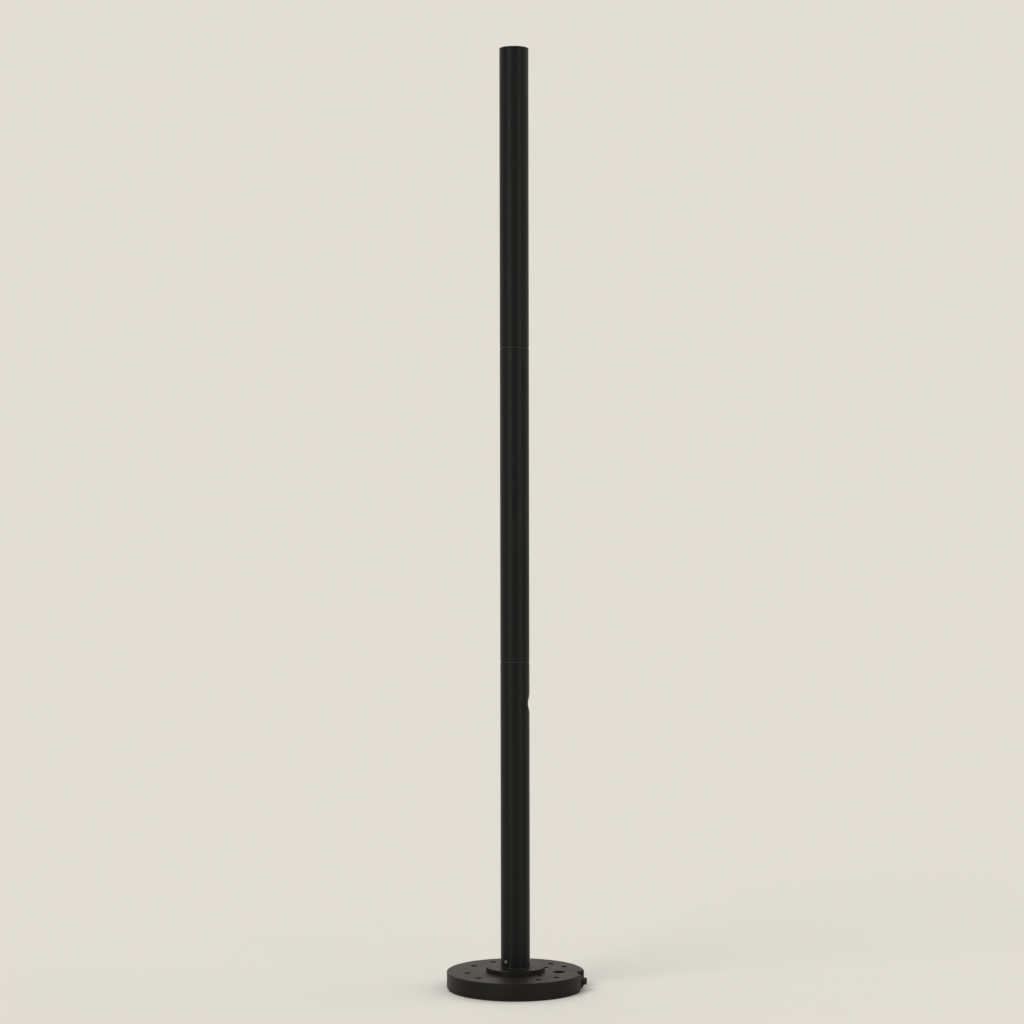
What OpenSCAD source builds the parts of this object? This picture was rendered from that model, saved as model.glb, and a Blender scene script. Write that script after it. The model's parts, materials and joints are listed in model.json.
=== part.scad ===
/* [Overall] */
// Height of the lamp above the ground
total_h = 1500; // [1450:5:1600]
// Step from one lamp head to the next, which is also the length of the middle section
section_h = 500; // [460:5:520]
// Distance from the top of the lamp down to the middle of the top notch
head_drop = 45; // [45:1:60]
// Distance from the middle of a notch up to the seam above it
seam_over_notch = 65; // [60:1:80]
// Direction of the lower light, counted round the pole from the cable gland
lower_aim = 63; // [20:1:160]
// Direction of the middle light
middle_aim = 98; // [20:1:160]
// Direction of the top light
top_aim = 83; // [20:1:160]

/* [Pole] */
// Outer diameter of the pole
pole_d = 46.5; // [45.5:0.5:50]
// Wall of the pole tubes
tube_wall = 2.5; // [2:0.1:2.7]
// Chamfer on the ends of the tubes
tube_chamfer = 0.4; // [0.2:0.1:0.8]
// Thickness of the top cap above the tube
cap_h = 3; // [2:0.5:3.5]
// Depth of the cap's plug inside the tube
plug_h = 7; // [5:0.5:7.5]
// Chamfer round the top of the cap
cap_chamfer = 0.8; // [0.3:0.1:1.5]

/* [Light notch] */
// Depth of a light notch, from the pole's surface
notch_depth = 19.7; // [19.3:0.1:20.4]
// Slope of the notch faces from the vertical, and of the beam below the horizontal
notch_slope = 33; // [31:0.5:35]
// Radius of the rounded bottom of a notch
notch_nose_r = 10; // [9:0.5:11]

/* [Lamp head] */
// Outer radius of the lens ring
ring_r = 13; // [12.4:0.1:13.1]
// How far the lens ring stands proud of the notch face
ring_proud = 0.6; // [0.3:0.1:1]
// Depth of the lens ring in its recess
ring_depth = 4.1; // [4.1:0.1:4.6]
// Radius of the clear opening in the lens ring
lip_r = 10; // [9.5:0.1:10.5]
// Thickness of the ring's lip in front of the lens
lip_h = 1; // [0.8:0.1:1.2]
// Radius of the lens
lens_r = 11.2; // [11:0.1:11.5]
// Thickness of the lens at its edge
lens_h = 2.9; // [2.6:0.1:2.9]
// How far the back of the lens bulges
lens_bulge = 1; // [0.5:0.1:1.4]
// Thickness of the lens gasket
gasket_h = 1; // [0.8:0.1:1.4]
// Inner radius of the lens gasket
gasket_r = 9; // [8.7:0.1:9.5]
// Radius of the bore that holds the reflector and the LED board
bore_r = 9.3; // [9:0.1:9.6]
// Depth of the reflector
reflector_h = 7.1; // [6:0.1:7.6]
// Wall of the reflector
reflector_wall = 0.8; // [0.6:0.1:1]
// Radius of the reflector's hole round the LED
reflector_hole_r = 3.2; // [3:0.1:3.6]
// Thickness of the LED board
board_h = 1.6; // [1:0.1:2]
// Radius of the LED's dome
led_r = 2.6; // [2:0.1:2.8]
// Wall of the housing above the LED bore and below the notch
housing_wall = 2; // [1.5:0.1:2.2]
// Radius of the feed cable
cable_r = 2.75; // [2.5:0.05:3]
// Radius of the wire from the feed cable to the LED board
wire_r = 1.2; // [0.9:0.1:1.4]
// Radius of a housing screw
housing_screw_r = 2.1; // [1.8:0.1:2.5]
// Length of a housing screw
housing_screw_l = 10; // [8:0.5:12]
// Distance of a housing screw from the middle of the housing
housing_screw_y = 9; // [8:0.5:10]

/* [Swivel] */
// Height of a spigot inside the tube that turns on it
spigot_rise = 30; // [28:1:34]
// Depth of a spigot inside the tube that carries it
spigot_root = 12; // [10:1:14]
// Bore radius of a spigot
spigot_bore_r = 15.5; // [15.2:0.1:15.8]
// Thickness of the shoulder between two tubes
shoulder_h = 1; // [0.8:0.1:1.5]
// How far the shoulder is set back from the pole's surface
shoulder_inset = 0.5; // [0.3:0.1:1]
// Thickness of a slip washer
washer_h = 0.5; // [0.4:0.1:1]
// Radius of the section of a swivel seal
seal_section_r = 0.85; // [0.7:0.05:0.9]
// Height of the seal groove above the seat
seal_z = 4; // [3.5:0.1:4.5]
// Height of the friction screws above the seat
friction_z = 10; // [9:0.5:11]
// Height of the stop screw above the seat
stop_z = 20; // [18:0.5:22]
// Width of the grooves that the screws ride in
groove_w = 5; // [4.6:0.1:6]
// Depth of the grooves that the screws ride in
groove_depth = 2.2; // [1.8:0.1:2.3]
// Turn of a section to either side before its stop screw meets the tooth
half_turn = 163; // [150:1:166]
// Radius of the threaded part of a swivel screw
screw_r = 2.5; // [2.3:0.1:2.7]
// Radius of the nose of a swivel screw
nose_r = 2; // [1.6:0.1:2.1]
// Width across flats of a swivel screw's socket
screw_socket = 2.5; // [2:0.1:2.6]

/* [Base] */
// Diameter of the base plate
base_d = 219; // [216:1:260]
// Thickness of the base plate
base_h = 25; // [25:0.5:36]
// Chamfer round the top of the base plate
base_chamfer = 1; // [0.5:0.1:2]
// Thickness of the rubber floor pad
pad_h = 3; // [2:0.1:4]
// How far the floor pad is set back from the base plate's rim
pad_inset = 2; // [1:0.5:4]
// Radius of a fixing hole
anchor_r = 5; // [4:0.25:5.5]
// Half the distance between the outer fixing holes, along the cable's direction
corner_x = 47; // [45:0.5:50]
// Half the distance between the outer fixing holes, across it
corner_y = 69; // [66:0.5:72]
// Distance of the front pair of fixing holes from the pole
front_x = 72; // [70:0.5:75]
// Half the distance between the front pair
front_y = 45.5; // [43:0.5:48]
// Distance of the inner pair of fixing holes from the pole
inner_x = 43; // [42:0.5:46]
// Half the distance between the inner pair
inner_y = 34.5; // [34:0.5:38]
// Distance of the rear pair of fixing holes from the pole
rear_x = 72; // [68:0.5:76]
// Half the distance between the rear pair
rear_y = 30; // [28:0.5:34]
// Distance of the cable hole from the pole
cable_hole_x = 70; // [66:0.5:72]
// Radius of the cable hole
cable_hole_r = 9.5; // [8:0.1:9.8]
// Width of the cut-out in the rim
cutout_w = 18; // [17:0.5:24]
// Depth of the cut-out in the rim
cutout_depth = 10; // [9:0.5:12]
// Chamfer in the corners of the channel
corner_chamfer = 3; // [1:0.5:4]
// Width of the cable channel
channel_w = 20; // [20:0.5:22]
// Material left above the cable channel
channel_roof = 6; // [5:0.5:8]
// Material left between the channel and the cut-out
channel_wall = 12; // [10:0.5:14]
// Radius of the hole in the middle of the base plate
centre_hole_r = 9; // [8:0.5:10]

/* [Base cover] */
// Thickness of the cover plate
cover_h = 1.5; // [1.5:0.1:2.5]
// Width of the ledge that the cover plate rests on
cover_ledge = 6; // [5.5:0.25:7]
// Radius of the shank of a cover screw
cover_screw_r = 1.5; // [1.2:0.1:1.8]
// Radius of the head of a cover screw
cover_head_r = 2.5; // [2.2:0.1:2.6]
// Length of a cover screw
cover_screw_l = 8; // [6:0.5:12]

/* [Flange] */
// Diameter of the pole flange
flange_d = 94; // [92:1:98]
// Thickness of the pole flange
flange_h = 7; // [6:0.5:9]
// Chamfer round the top of the flange
flange_chamfer = 0.8; // [0.3:0.1:1.5]
// Diameter of the circle of flange screws
flange_pcd = 73; // [68:1:76]
// Direction of the first flange screw
flange_screw_at = 54; // [50:1:60]
// Radius of the shank of a flange screw
flange_screw_r = 3; // [2.5:0.1:3]
// Radius of the head of a flange screw
flange_head_r = 5.7; // [5.2:0.1:6]
// Length of a flange screw
flange_screw_l = 20; // [16:1:24]
// Width across flats of a flange screw's socket
flange_socket = 4; // [3:0.5:4.5]

/* [Cable gland] */
// Height of the gland's axis above the ground
gland_z = 14.5; // [14:0.1:15]
// Radius of the gland's thread
gland_thread_r = 6; // [5.6:0.1:6.2]
// Width across flats of the gland's collar
gland_collar_w = 14; // [13:0.5:15]
// Length of the gland's collar
gland_collar_l = 4; // [3:0.5:4.5]
// Width across flats of the gland nut
gland_nut_w = 12; // [11.6:0.2:13]
// Length of the gland nut
gland_nut_l = 11; // [9:0.5:12]
// Wall of the gland nut round its seal
gland_nut_wall = 1.3; // [1:0.1:1.5]
// Thickness of the gland nut's lip in front of its seal
gland_nut_lip = 1.5; // [1:0.1:2]
// Radius of the cable passage
gland_bore_r = 3.7; // [3:0.1:4]

/* [Driver] */
// Width of the LED driver
driver_w = 28; // [24:0.5:29]
// Thickness of the LED driver
driver_t = 18; // [14:0.5:20]
// Length of the LED driver
driver_l = 160; // [120:5:165]
// Gap between the first spigot and the driver carrier above it
carrier_gap = 20; // [8:1:40]
// Thickness of the carrier's walls
carrier_wall = 3; // [2:0.5:4]

/* [Terminal block] */
// Length of the terminal block
terminal_l = 22; // [18:1:24]
// Width of the terminal block
terminal_w = 16; // [14:0.5:18]
// Height of the terminal block
terminal_h = 12; // [10:0.5:14]
// Distance of the terminal block from the pole's axis
terminal_x = 32; // [31:1:34]

/* [Hidden] */

// Colours as they look in daylight
POWDER_BLACK = "#1c1b1a";
ANODISED_BLACK = "#242426";
STAINLESS = "#b9b9b6";
RUBBER_BLACK = "#141414";
MATT_ALUMINIUM = "#8d8f92";
GLASS = "#ffe2b0";
NYLON = "#3a3a3a";
BOARD_WHITE = "#e9ebe6";
LED_YELLOW = "#f4c430";

// Facets of a round face; every round face is rebuilt as a true curve
$fn = 64;
// Radial clearance of pieces that are fitted and stay put
fit = 0.05;
// Radial clearance of a section that turns on its spigot
run = 0.06;
// Gap between a moving piece and what it must not rub on
air = 0.3;
// Clearance round plates and screws that drop in
drop = 0.2;
// How far a cutter reaches past the face it cuts
past = 1;
// Small step between end faces that must not touch
lift = 0.1;
// Extra width of a seal's groove
seal_room = 0.5;
// Depth of a tapped hole below the end of its screw
tap_room = 3;

pole_r = pole_d / 2;
tube_r = pole_r - tube_wall;
base_r = base_d / 2;
base_top = pad_h + base_h;
flange_top = base_top + flange_h;

// Levels of the notches, the seams and the seats that the sections turn on
LOWER = 0;
MIDDLE = 1;
TOP = 2;
aims = [lower_aim, middle_aim, top_aim];
notch_zs = [for (i = [LOWER:TOP]) total_h - head_drop - (TOP - i) * section_h];
seats = [
  flange_top,
  notch_zs[LOWER] + seam_over_notch + shoulder_h,
  notch_zs[MIDDLE] + seam_over_notch + shoulder_h
];
tube_tops = [
  seats[MIDDLE] - shoulder_h,
  seats[TOP] - shoulder_h,
  total_h - cap_h
];
// Direction of the tooth on each spigot: opposite the light of the piece that carries it
tooth_ats = [270, lower_aim + 180, middle_aim + 180];
// Friction screws, counted from the section's own light
lower_friction_ats = [54, 174, 294];
upper_friction_ats = [60, 300];

// Notch outline: two flat faces that run smoothly into a round nose
nose_x = pole_r - notch_depth + notch_nose_r;
tangent_x = nose_x - notch_nose_r * cos(notch_slope);
tangent_z = notch_nose_r * sin(notch_slope);
function face_x(z) = tangent_x + (z - tangent_z) * tan(notch_slope);
function face_z(x) = tangent_z + (x - tangent_x) / tan(notch_slope);

// Lens on the upper face, just clear of the nose
ring_margin = 0.2;
lens_z = tangent_z + (ring_r + ring_margin) * cos(notch_slope);
lens_x = face_x(lens_z);

// Stack behind the lens, as depths below the notch face
lens_front = lip_h + fit;
lens_back = lens_front + lens_h;
gasket_front = ring_depth + fit;
recess_depth = gasket_front + gasket_h + fit;
reflector_front = recess_depth + fit;
board_front = reflector_front + reflector_h + fit;
board_back = board_front + board_h;
bore_depth = board_back + lift;

// Reach of the housing above and below the middle of its notch
housing_up = lens_z + bore_depth * sin(notch_slope) + bore_r * cos(notch_slope) + housing_wall;
housing_down = face_z(pole_r) + housing_wall;
housing_r = tube_r - fit;
housing_screw_z = (tangent_z + housing_down) / 2;
// The cable runs down the housing's back, and the wire crosses to the board
groove_half_w = cable_r + air;
cable_x = spigot_bore_r - cable_r - air;
wire_z = lens_z + board_back * sin(notch_slope) - wire_r;
wire_end = lens_x - board_back * cos(notch_slope) - 2 * wire_r * tan(notch_slope) - air;

// Spigots
spigot_r = tube_r - run;
spigot_chamfer = 1;
seal_groove_w = 2 * seal_section_r + seal_room;
seal_depth = 2 * seal_section_r + fit;
groove_r = spigot_r - groove_depth;
nose_end_r = groove_r + air;
tooth_w = 2 * (nose_end_r * sin(180 - half_turn) - nose_r - air);

// Level where the base lead ends, radius of its bend, and straight start of a feed cable
lead_end = seats[LOWER] + spigot_rise;
bend_r = 12;
cable_straight = 8;
carrier_z = lead_end + carrier_gap;

// Base
channel_end = base_r - cutout_depth - channel_wall;
channel_back = centre_hole_r + corner_chamfer;
channel_top = base_top - channel_roof;
gland_face = base_r - cutout_depth;
cutout_corner = (cutout_w - gland_collar_w) / 2 - air;
cover_back = channel_back + cover_ledge;
cover_front = channel_end + cover_ledge;
cover_half_w = channel_w / 2 + cover_ledge;
cover_screw_y = channel_w / 2 + cover_ledge / 2;
cover_screw_xs = [-channel_back / 2, channel_end - cover_ledge];
flange_tap_depth = flange_screw_l - flange_h + tap_room;
// Each row holds the distance along the cable's direction and half the distance across
anchor_rows = [
  [corner_x, corner_y],
  [-corner_x, corner_y],
  [front_x, front_y],
  [inner_x, inner_y],
  [-rear_x, rear_y]
];

// Moves a lamp-head piece to its notch, with X along the light's direction
module at_head(i) {
  translate([0, 0, notch_zs[i]]) rotate([0, 0, aims[i]]) children();
}

// Puts Z along the beam, with zero on the upper notch face
module on_beam() {
  translate([lens_x, 0, lens_z]) rotate([0, 90 + notch_slope, 0]) children();
}

// A turned ring: outline points are radius and height
module turned(points) {
  rotate_extrude() polygon(points);
}

// Tool that cuts a light notch across the pole
module notch_cutter() {
  steps = 12;
  x_out = pole_r + past;
  nose = [
    for (k = [0:steps])
      let (a = 180 - notch_slope + k * 2 * notch_slope / steps)
      [nose_x + notch_nose_r * cos(a), notch_nose_r * sin(a)]
  ];
  outline = concat([[x_out, face_z(x_out)]], nose, [[x_out, -face_z(x_out)]]);
  rotate([90, 0, 0])
    translate([0, 0, -pole_r - past])
      linear_extrude(2 * (pole_r + past)) polygon(outline);
}

// Tool that bores a round hole outwards from the axis, at the given height and direction
module radial_hole(r, z, at) {
  translate([0, 0, z]) rotate([0, 0, at]) rotate([0, 90, 0]) cylinder(r = r, h = pole_r + past);
}

// Hexagonal prism by its width across flats
module hexagon(across, h) {
  cylinder(r = across / 2 / cos(30), h = h, $fn = 6);
}

// Cable with eight sides that follows points in the plane of X and Z
module cable(points, r) {
  sides = 8;
  last = len(points) - 1;
  rings = [
    for (i = [0:last])
      let (
        d = points[min(i + 1, last)] - points[max(i - 1, 0)],
        n = [d[1], -d[0]] / norm(d)
      )
      for (k = [0:sides - 1])
        let (a = 360 * k / sides)
        [points[i][0] + r * cos(a) * n[0], r * sin(a), points[i][1] + r * cos(a) * n[1]]
  ];
  walls = [
    for (i = [0:last - 1])
      for (k = [0:sides - 1])
        let (next = (k + 1) % sides)
        [i * sides + k, (i + 1) * sides + k, (i + 1) * sides + next, i * sides + next]
  ];
  start = [for (k = [0:sides - 1]) k];
  end = [for (k = [0:sides - 1]) last * sides + sides - 1 - k];
  polyhedron(points = rings, faces = concat([start], walls, [end]));
}

// Cable run that moves smoothly from one line to another as it climbs
function shift_run(x0, z0, x1, z1, steps = 8) = [
  for (k = [0:steps])
    [x0 + (x1 - x0) * (1 - cos(180 * k / steps)) / 2, z0 + (z1 - z0) * k / steps]
];

// Tool for a groove round a spigot, down to the given radius
module ring_groove(r, z, width) {
  rotate_extrude() translate([r, z - width / 2]) square([pole_r + past - r, width]);
}

// Spigot above its seat: seal groove, friction groove and a stop groove broken by a tooth
module spigot_nose(tooth_at) {
  difference() {
    turned([
      [spigot_bore_r, 0],
      [spigot_r, 0],
      [spigot_r, spigot_rise - spigot_chamfer],
      [spigot_r - spigot_chamfer, spigot_rise],
      [spigot_bore_r, spigot_rise]
    ]);
    ring_groove(spigot_r - seal_depth, seal_z, seal_groove_w);
    ring_groove(groove_r, friction_z, groove_w);
    difference() {
      ring_groove(groove_r, stop_z, groove_w);
      rotate([0, 0, tooth_at])
        translate([0, -tooth_w / 2, 0]) cube([pole_r + 2 * past, tooth_w, spigot_rise]);
    }
  }
}

// Spigot that closes one tube and carries the next
module spigot(i) {
  color(POWDER_BLACK) translate([0, 0, seats[i]]) {
    spigot_nose(tooth_ats[i]);
    turned([
      [spigot_bore_r, -shoulder_h - spigot_root],
      [tube_r - fit, -shoulder_h - spigot_root],
      [tube_r - fit, -shoulder_h],
      [pole_r - shoulder_inset, -shoulder_h],
      [pole_r - shoulder_inset, 0],
      [spigot_bore_r, 0]
    ]);
  }
}

// Slip washer between a seat and the tube that turns on it
module slip_washer(i) {
  color(NYLON) translate([0, 0, seats[i]])
    turned([
      [tube_r + fit, 0],
      [pole_r - shoulder_inset, 0],
      [pole_r - shoulder_inset, washer_h],
      [tube_r + fit, washer_h]
    ]);
}

// O-ring in the groove of a spigot
module swivel_seal(i) {
  color(RUBBER_BLACK) translate([0, 0, seats[i] + seal_z])
    rotate_extrude() translate([spigot_r - seal_section_r, 0]) circle(r = seal_section_r);
}

// Socket screw in the wall of a tube, with its nose in a groove of the spigot
module swivel_screw(z, at) {
  head_end = pole_r - drop;
  socket_depth = 2;
  translate([0, 0, z]) rotate([0, 0, at]) rotate([0, 90, 0]) difference() {
    union() {
      translate([0, 0, tube_r]) cylinder(r = screw_r, h = head_end - tube_r);
      translate([0, 0, nose_end_r]) cylinder(r = nose_r, h = tube_r - nose_end_r);
    }
    translate([0, 0, head_end - socket_depth]) hexagon(screw_socket, socket_depth + past);
  }
}

// Screws that press on the spigot, so the section stays where it is turned to
module friction_screws(i, ats) {
  color(STAINLESS) for (at = ats) swivel_screw(seats[i] + friction_z, aims[i] + at);
}

// Screw under the light that meets the tooth at the end of the turn
module stop_screw(i) {
  color(ANODISED_BLACK) swivel_screw(seats[i] + stop_z, aims[i]);
}

// One section of the pole, cut open at its notch
module tube(i, ats) {
  foot = seats[i] + washer_h + lift;
  rise = tube_tops[i] - foot;
  color(POWDER_BLACK) difference() {
    translate([0, 0, foot]) turned([
      [tube_r, 0],
      [pole_r - tube_chamfer, 0],
      [pole_r, tube_chamfer],
      [pole_r, rise - tube_chamfer],
      [pole_r - tube_chamfer, rise],
      [tube_r, rise]
    ]);
    at_head(i) notch_cutter();
    for (at = ats) radial_hole(screw_r + fit, seats[i] + friction_z, aims[i] + at);
    radial_hole(screw_r + fit, seats[i] + stop_z, aims[i]);
  }
}

// Cast lining of a notch, which carries the lamp
module lamp_housing(i) {
  color(POWDER_BLACK) at_head(i) difference() {
    translate([0, 0, -housing_down]) cylinder(r = housing_r, h = housing_down + housing_up);
    notch_cutter();
    on_beam() {
      translate([0, 0, -recess_depth]) cylinder(r = ring_r, h = recess_depth + ring_r);
      translate([0, 0, -bore_depth]) cylinder(r = bore_r, h = bore_depth);
    }
    translate([-pole_r - cable_x + groove_half_w, -groove_half_w, -housing_down - past])
      cube([pole_r, 2 * groove_half_w, housing_down + housing_up + 2 * past]);
    translate([-cable_x, 0, wire_z]) rotate([0, 90, 0]) cylinder(r = wire_r + air, h = cable_x);
    for (y = [-housing_screw_y, housing_screw_y])
      translate([-pole_r, y, -housing_screw_z]) rotate([0, 90, 0])
        cylinder(r = housing_screw_r + fit, h = 2 * pole_r);
  }
}

// Two screws that spread the housing against the back of the tube
module housing_screws(i) {
  reach = sqrt(pow(tube_r, 2) - pow(housing_screw_y + housing_screw_r, 2)) - fit;
  socket_depth = 2.5;
  socket_w = 2;
  color(STAINLESS) at_head(i) for (y = [-housing_screw_y, housing_screw_y])
    translate([-reach, y, -housing_screw_z]) rotate([0, 90, 0]) difference() {
      cylinder(r = housing_screw_r, h = housing_screw_l);
      translate([0, 0, housing_screw_l - socket_depth]) hexagon(socket_w, socket_depth + past);
    }
}

// Ring that holds the lens in its recess
module lens_ring(i) {
  outer = ring_r - fit;
  bevel = 0.3;
  flare = 1.2;
  color(ANODISED_BLACK) at_head(i) on_beam() turned([
    [lip_r, -lip_h],
    [lip_r, 0],
    [lip_r + flare, ring_proud],
    [outer - bevel, ring_proud],
    [outer, ring_proud - bevel],
    [outer, -ring_depth],
    [lens_r + fit, -ring_depth],
    [lens_r + fit, -lip_h]
  ]);
}

// Glass lens: flat in front, bulging behind
module lens(i) {
  steps = 8;
  bulge_r = gasket_r - air;
  bulge = [
    for (k = [0:steps])
      let (r = bulge_r * k / steps)
      [r, -lens_back - lens_bulge * (1 - pow(r / bulge_r, 2))]
  ];
  color(GLASS, 0.6) at_head(i) on_beam()
    turned(concat(bulge, [[lens_r, -lens_back], [lens_r, -lens_front], [0, -lens_front]]));
}

// Flat gasket behind the lens
module lens_gasket(i) {
  color(RUBBER_BLACK) at_head(i) on_beam() turned([
    [gasket_r, -gasket_front - gasket_h],
    [ring_r - drop, -gasket_front - gasket_h],
    [ring_r - drop, -gasket_front],
    [gasket_r, -gasket_front]
  ]);
}

// Spun aluminium reflector with a parabolic wall
module reflector(i) {
  steps = 10;
  rim_r = bore_r - fit - reflector_wall;
  back = -reflector_front - reflector_h;
  function wall_r(t) = reflector_hole_r + (rim_r - reflector_hole_r) * sqrt(t);
  inner = [for (k = [0:steps]) [wall_r(k / steps), back + reflector_h * k / steps]];
  outer = [
    for (k = [steps:-1:0])
      [wall_r(k / steps) + reflector_wall, back + reflector_h * k / steps]
  ];
  color(STAINLESS) at_head(i) on_beam() turned(concat(inner, outer));
}

// Round board that carries the LED
module led_board(i) {
  color(BOARD_WHITE) at_head(i) on_beam()
    translate([0, 0, -board_back]) cylinder(r = bore_r - fit, h = board_h);
}

// LED with its domed lens
module led(i) {
  color(LED_YELLOW) at_head(i) on_beam() translate([0, 0, -board_front]) intersection() {
    translate([0, 0, -led_r / 2]) sphere(r = led_r);
    cylinder(r = led_r, h = led_r);
  }
}

// Feed cable of a section with the wire that branches off to the LED board
module feed_cable(i, points) {
  color(RUBBER_BLACK) rotate([0, 0, aims[i]]) {
    cable(points, cable_r);
    translate([cable_r + fit - cable_x, 0, notch_zs[i] + wire_z]) rotate([0, 90, 0])
      cylinder(r = wire_r, h = wire_end + cable_x - cable_r - fit);
  }
}

// Cable points from the axis over to the groove in the housing's back
function cable_in(i, from_z) = concat(
  [[0, from_z]],
  shift_run(0, from_z + cable_straight, -cable_x, notch_zs[i] - housing_down - air)
);

// Cable points from the groove back to the axis, up to the top of the next spigot
function cable_out(i) = concat(
  shift_run(-cable_x, notch_zs[i] + housing_up + air, 0, seats[i + 1] + spigot_rise - bend_r / 2),
  [[0, seats[i + 1] + spigot_rise]]
);

// Outline of the base plate: chamfered above, square below
module base_disc() {
  translate([0, 0, pad_h]) turned([
    [0, 0],
    [base_r, 0],
    [base_r, base_h - base_chamfer],
    [base_r - base_chamfer, base_h],
    [0, base_h]
  ]);
}

// Rectangle from x0 to x1 with cut corners
module cut_rectangle(x0, x1, width, corner) {
  y = width / 2;
  polygon([
    [x0 + corner, -y], [x1 - corner, -y], [x1, corner - y], [x1, y - corner],
    [x1 - corner, y], [x0 + corner, y], [x0, y - corner], [x0, corner - y]
  ]);
}

// Places a child at every fixing hole
module at_anchors() {
  for (row = anchor_rows, side = [-1, 1]) translate([row[0], side * row[1], 0]) children();
}

// Places a child at every flange screw
module at_flange_screws() {
  for (k = [0:3]) rotate([0, 0, flange_screw_at + 90 * k]) translate([flange_pcd / 2, 0, 0]) children();
}

// Places a child at every cover screw
module at_cover_screws() {
  for (x = cover_screw_xs, side = [-1, 1]) translate([x, side * cover_screw_y, pad_h]) children();
}

// Cone of a countersunk head, wide end at zero
module countersink(head_r, shank_r) {
  cylinder(r1 = head_r, r2 = shank_r, h = head_r - shank_r);
}

// Tool for the cut-out in the rim, open outwards
module rim_cutout() {
  translate([0, 0, -past]) linear_extrude(base_top + 2 * past)
    cut_rectangle(gland_face, base_r + cutout_corner + past, cutout_w, cutout_corner);
}

module floor_pad() {
  color(RUBBER_BLACK) difference() {
    cylinder(r = base_r - pad_inset, h = pad_h);
    at_anchors() translate([0, 0, -past]) cylinder(r = anchor_r + air, h = pad_h + 2 * past);
    rim_cutout();
  }
}

module base_plate() {
  color(POWDER_BLACK) difference() {
    base_disc();
    rim_cutout();
    at_anchors() cylinder(r = anchor_r, h = base_top + past);
    at_flange_screws()
      translate([0, 0, base_top - flange_tap_depth])
        cylinder(r = flange_screw_r + fit, h = flange_tap_depth + past);
    translate([0, 0, pad_h - past]) linear_extrude(channel_top - pad_h + past)
      cut_rectangle(-channel_back, channel_end, channel_w, corner_chamfer);
    translate([0, 0, pad_h - past]) linear_extrude(cover_h + past)
      cut_rectangle(-cover_back, cover_front, 2 * cover_half_w, corner_chamfer);
    cylinder(r = centre_hole_r, h = base_top + past);
    translate([cable_hole_x, 0, pad_h]) cylinder(r = cable_hole_r, h = base_h + past);
    translate([channel_end - past, 0, gland_z]) rotate([0, 90, 0])
      cylinder(r = gland_thread_r + fit, h = channel_wall + 2 * past);
    at_cover_screws() cylinder(r = cover_screw_r + fit, h = cover_screw_l + past);
  }
}

module base_cover_plate() {
  color(STAINLESS) difference() {
    translate([0, 0, pad_h]) linear_extrude(cover_h)
      cut_rectangle(drop - cover_back, cover_front - drop, 2 * (cover_half_w - drop), corner_chamfer);
    at_cover_screws() {
      translate([0, 0, -past]) cylinder(r = cover_screw_r + drop, h = cover_h + 2 * past);
      countersink(cover_head_r + fit, cover_screw_r + fit);
    }
  }
}

module cover_plate_screws() {
  socket_depth = 0.8;
  socket_w = 1.5;
  color(STAINLESS) at_cover_screws() difference() {
    union() {
      countersink(cover_head_r, cover_screw_r);
      cylinder(r = cover_screw_r, h = cover_screw_l);
    }
    translate([0, 0, -past]) hexagon(socket_w, socket_depth + past);
  }
}

module pole_flange() {
  flange_r = flange_d / 2;
  color(POWDER_BLACK) {
    difference() {
      translate([0, 0, base_top]) turned([
        [centre_hole_r, 0],
        [flange_r, 0],
        [flange_r, flange_h - flange_chamfer],
        [flange_r - flange_chamfer, flange_h],
        [centre_hole_r, flange_h]
      ]);
      at_flange_screws() {
        translate([0, 0, base_top - past]) cylinder(r = flange_screw_r + drop, h = flange_h + 2 * past);
        translate([0, 0, flange_top]) mirror([0, 0, 1]) countersink(flange_head_r + fit, flange_screw_r);
      }
    }
    translate([0, 0, seats[LOWER]]) spigot_nose(tooth_ats[LOWER]);
  }
}

module flange_screws() {
  socket_depth = 2.5;
  color(ANODISED_BLACK) at_flange_screws() translate([0, 0, flange_top]) mirror([0, 0, 1]) difference() {
    union() {
      countersink(flange_head_r, flange_screw_r);
      cylinder(r = flange_screw_r, h = flange_screw_l);
    }
    translate([0, 0, -past]) hexagon(flange_socket, socket_depth + past);
  }
}

// Puts Z along the gland, outwards, with zero on the back of the cut-out
module at_gland() {
  translate([gland_face, 0, gland_z]) rotate([0, 90, 0]) children();
}

module gland_body() {
  color(ANODISED_BLACK) at_gland() difference() {
    union() {
      translate([0, 0, -channel_wall]) cylinder(r = gland_thread_r, h = channel_wall);
      hexagon(gland_collar_w, gland_collar_l);
    }
    translate([0, 0, -channel_wall - past])
      cylinder(r = gland_bore_r + air, h = channel_wall + gland_collar_l + 2 * past);
  }
}

module gland_seal() {
  seal_r = gland_nut_w / 2 - gland_nut_wall;
  color(RUBBER_BLACK) at_gland() translate([0, 0, gland_collar_l]) difference() {
    cylinder(r = seal_r - fit, h = gland_nut_l - gland_nut_lip);
    translate([0, 0, -past]) cylinder(r = gland_bore_r, h = gland_nut_l + 2 * past);
  }
}

module gland_nut() {
  seal_r = gland_nut_w / 2 - gland_nut_wall;
  dome_l = gland_nut_l / 2;
  dome_r = gland_nut_w / 2 - air;
  dome_end_r = gland_bore_r + gland_nut_lip;
  color(ANODISED_BLACK) at_gland() translate([0, 0, gland_collar_l]) difference() {
    union() {
      hexagon(gland_nut_w, gland_nut_l - dome_l);
      turned([
        [0, 0],
        [dome_r, 0],
        [dome_r, gland_nut_l - gland_nut_lip],
        [dome_end_r, gland_nut_l],
        [0, gland_nut_l]
      ]);
    }
    translate([0, 0, -past]) cylinder(r = seal_r, h = gland_nut_l - gland_nut_lip + past);
    cylinder(r = gland_bore_r + drop, h = gland_nut_l + past);
  }
}

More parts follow.
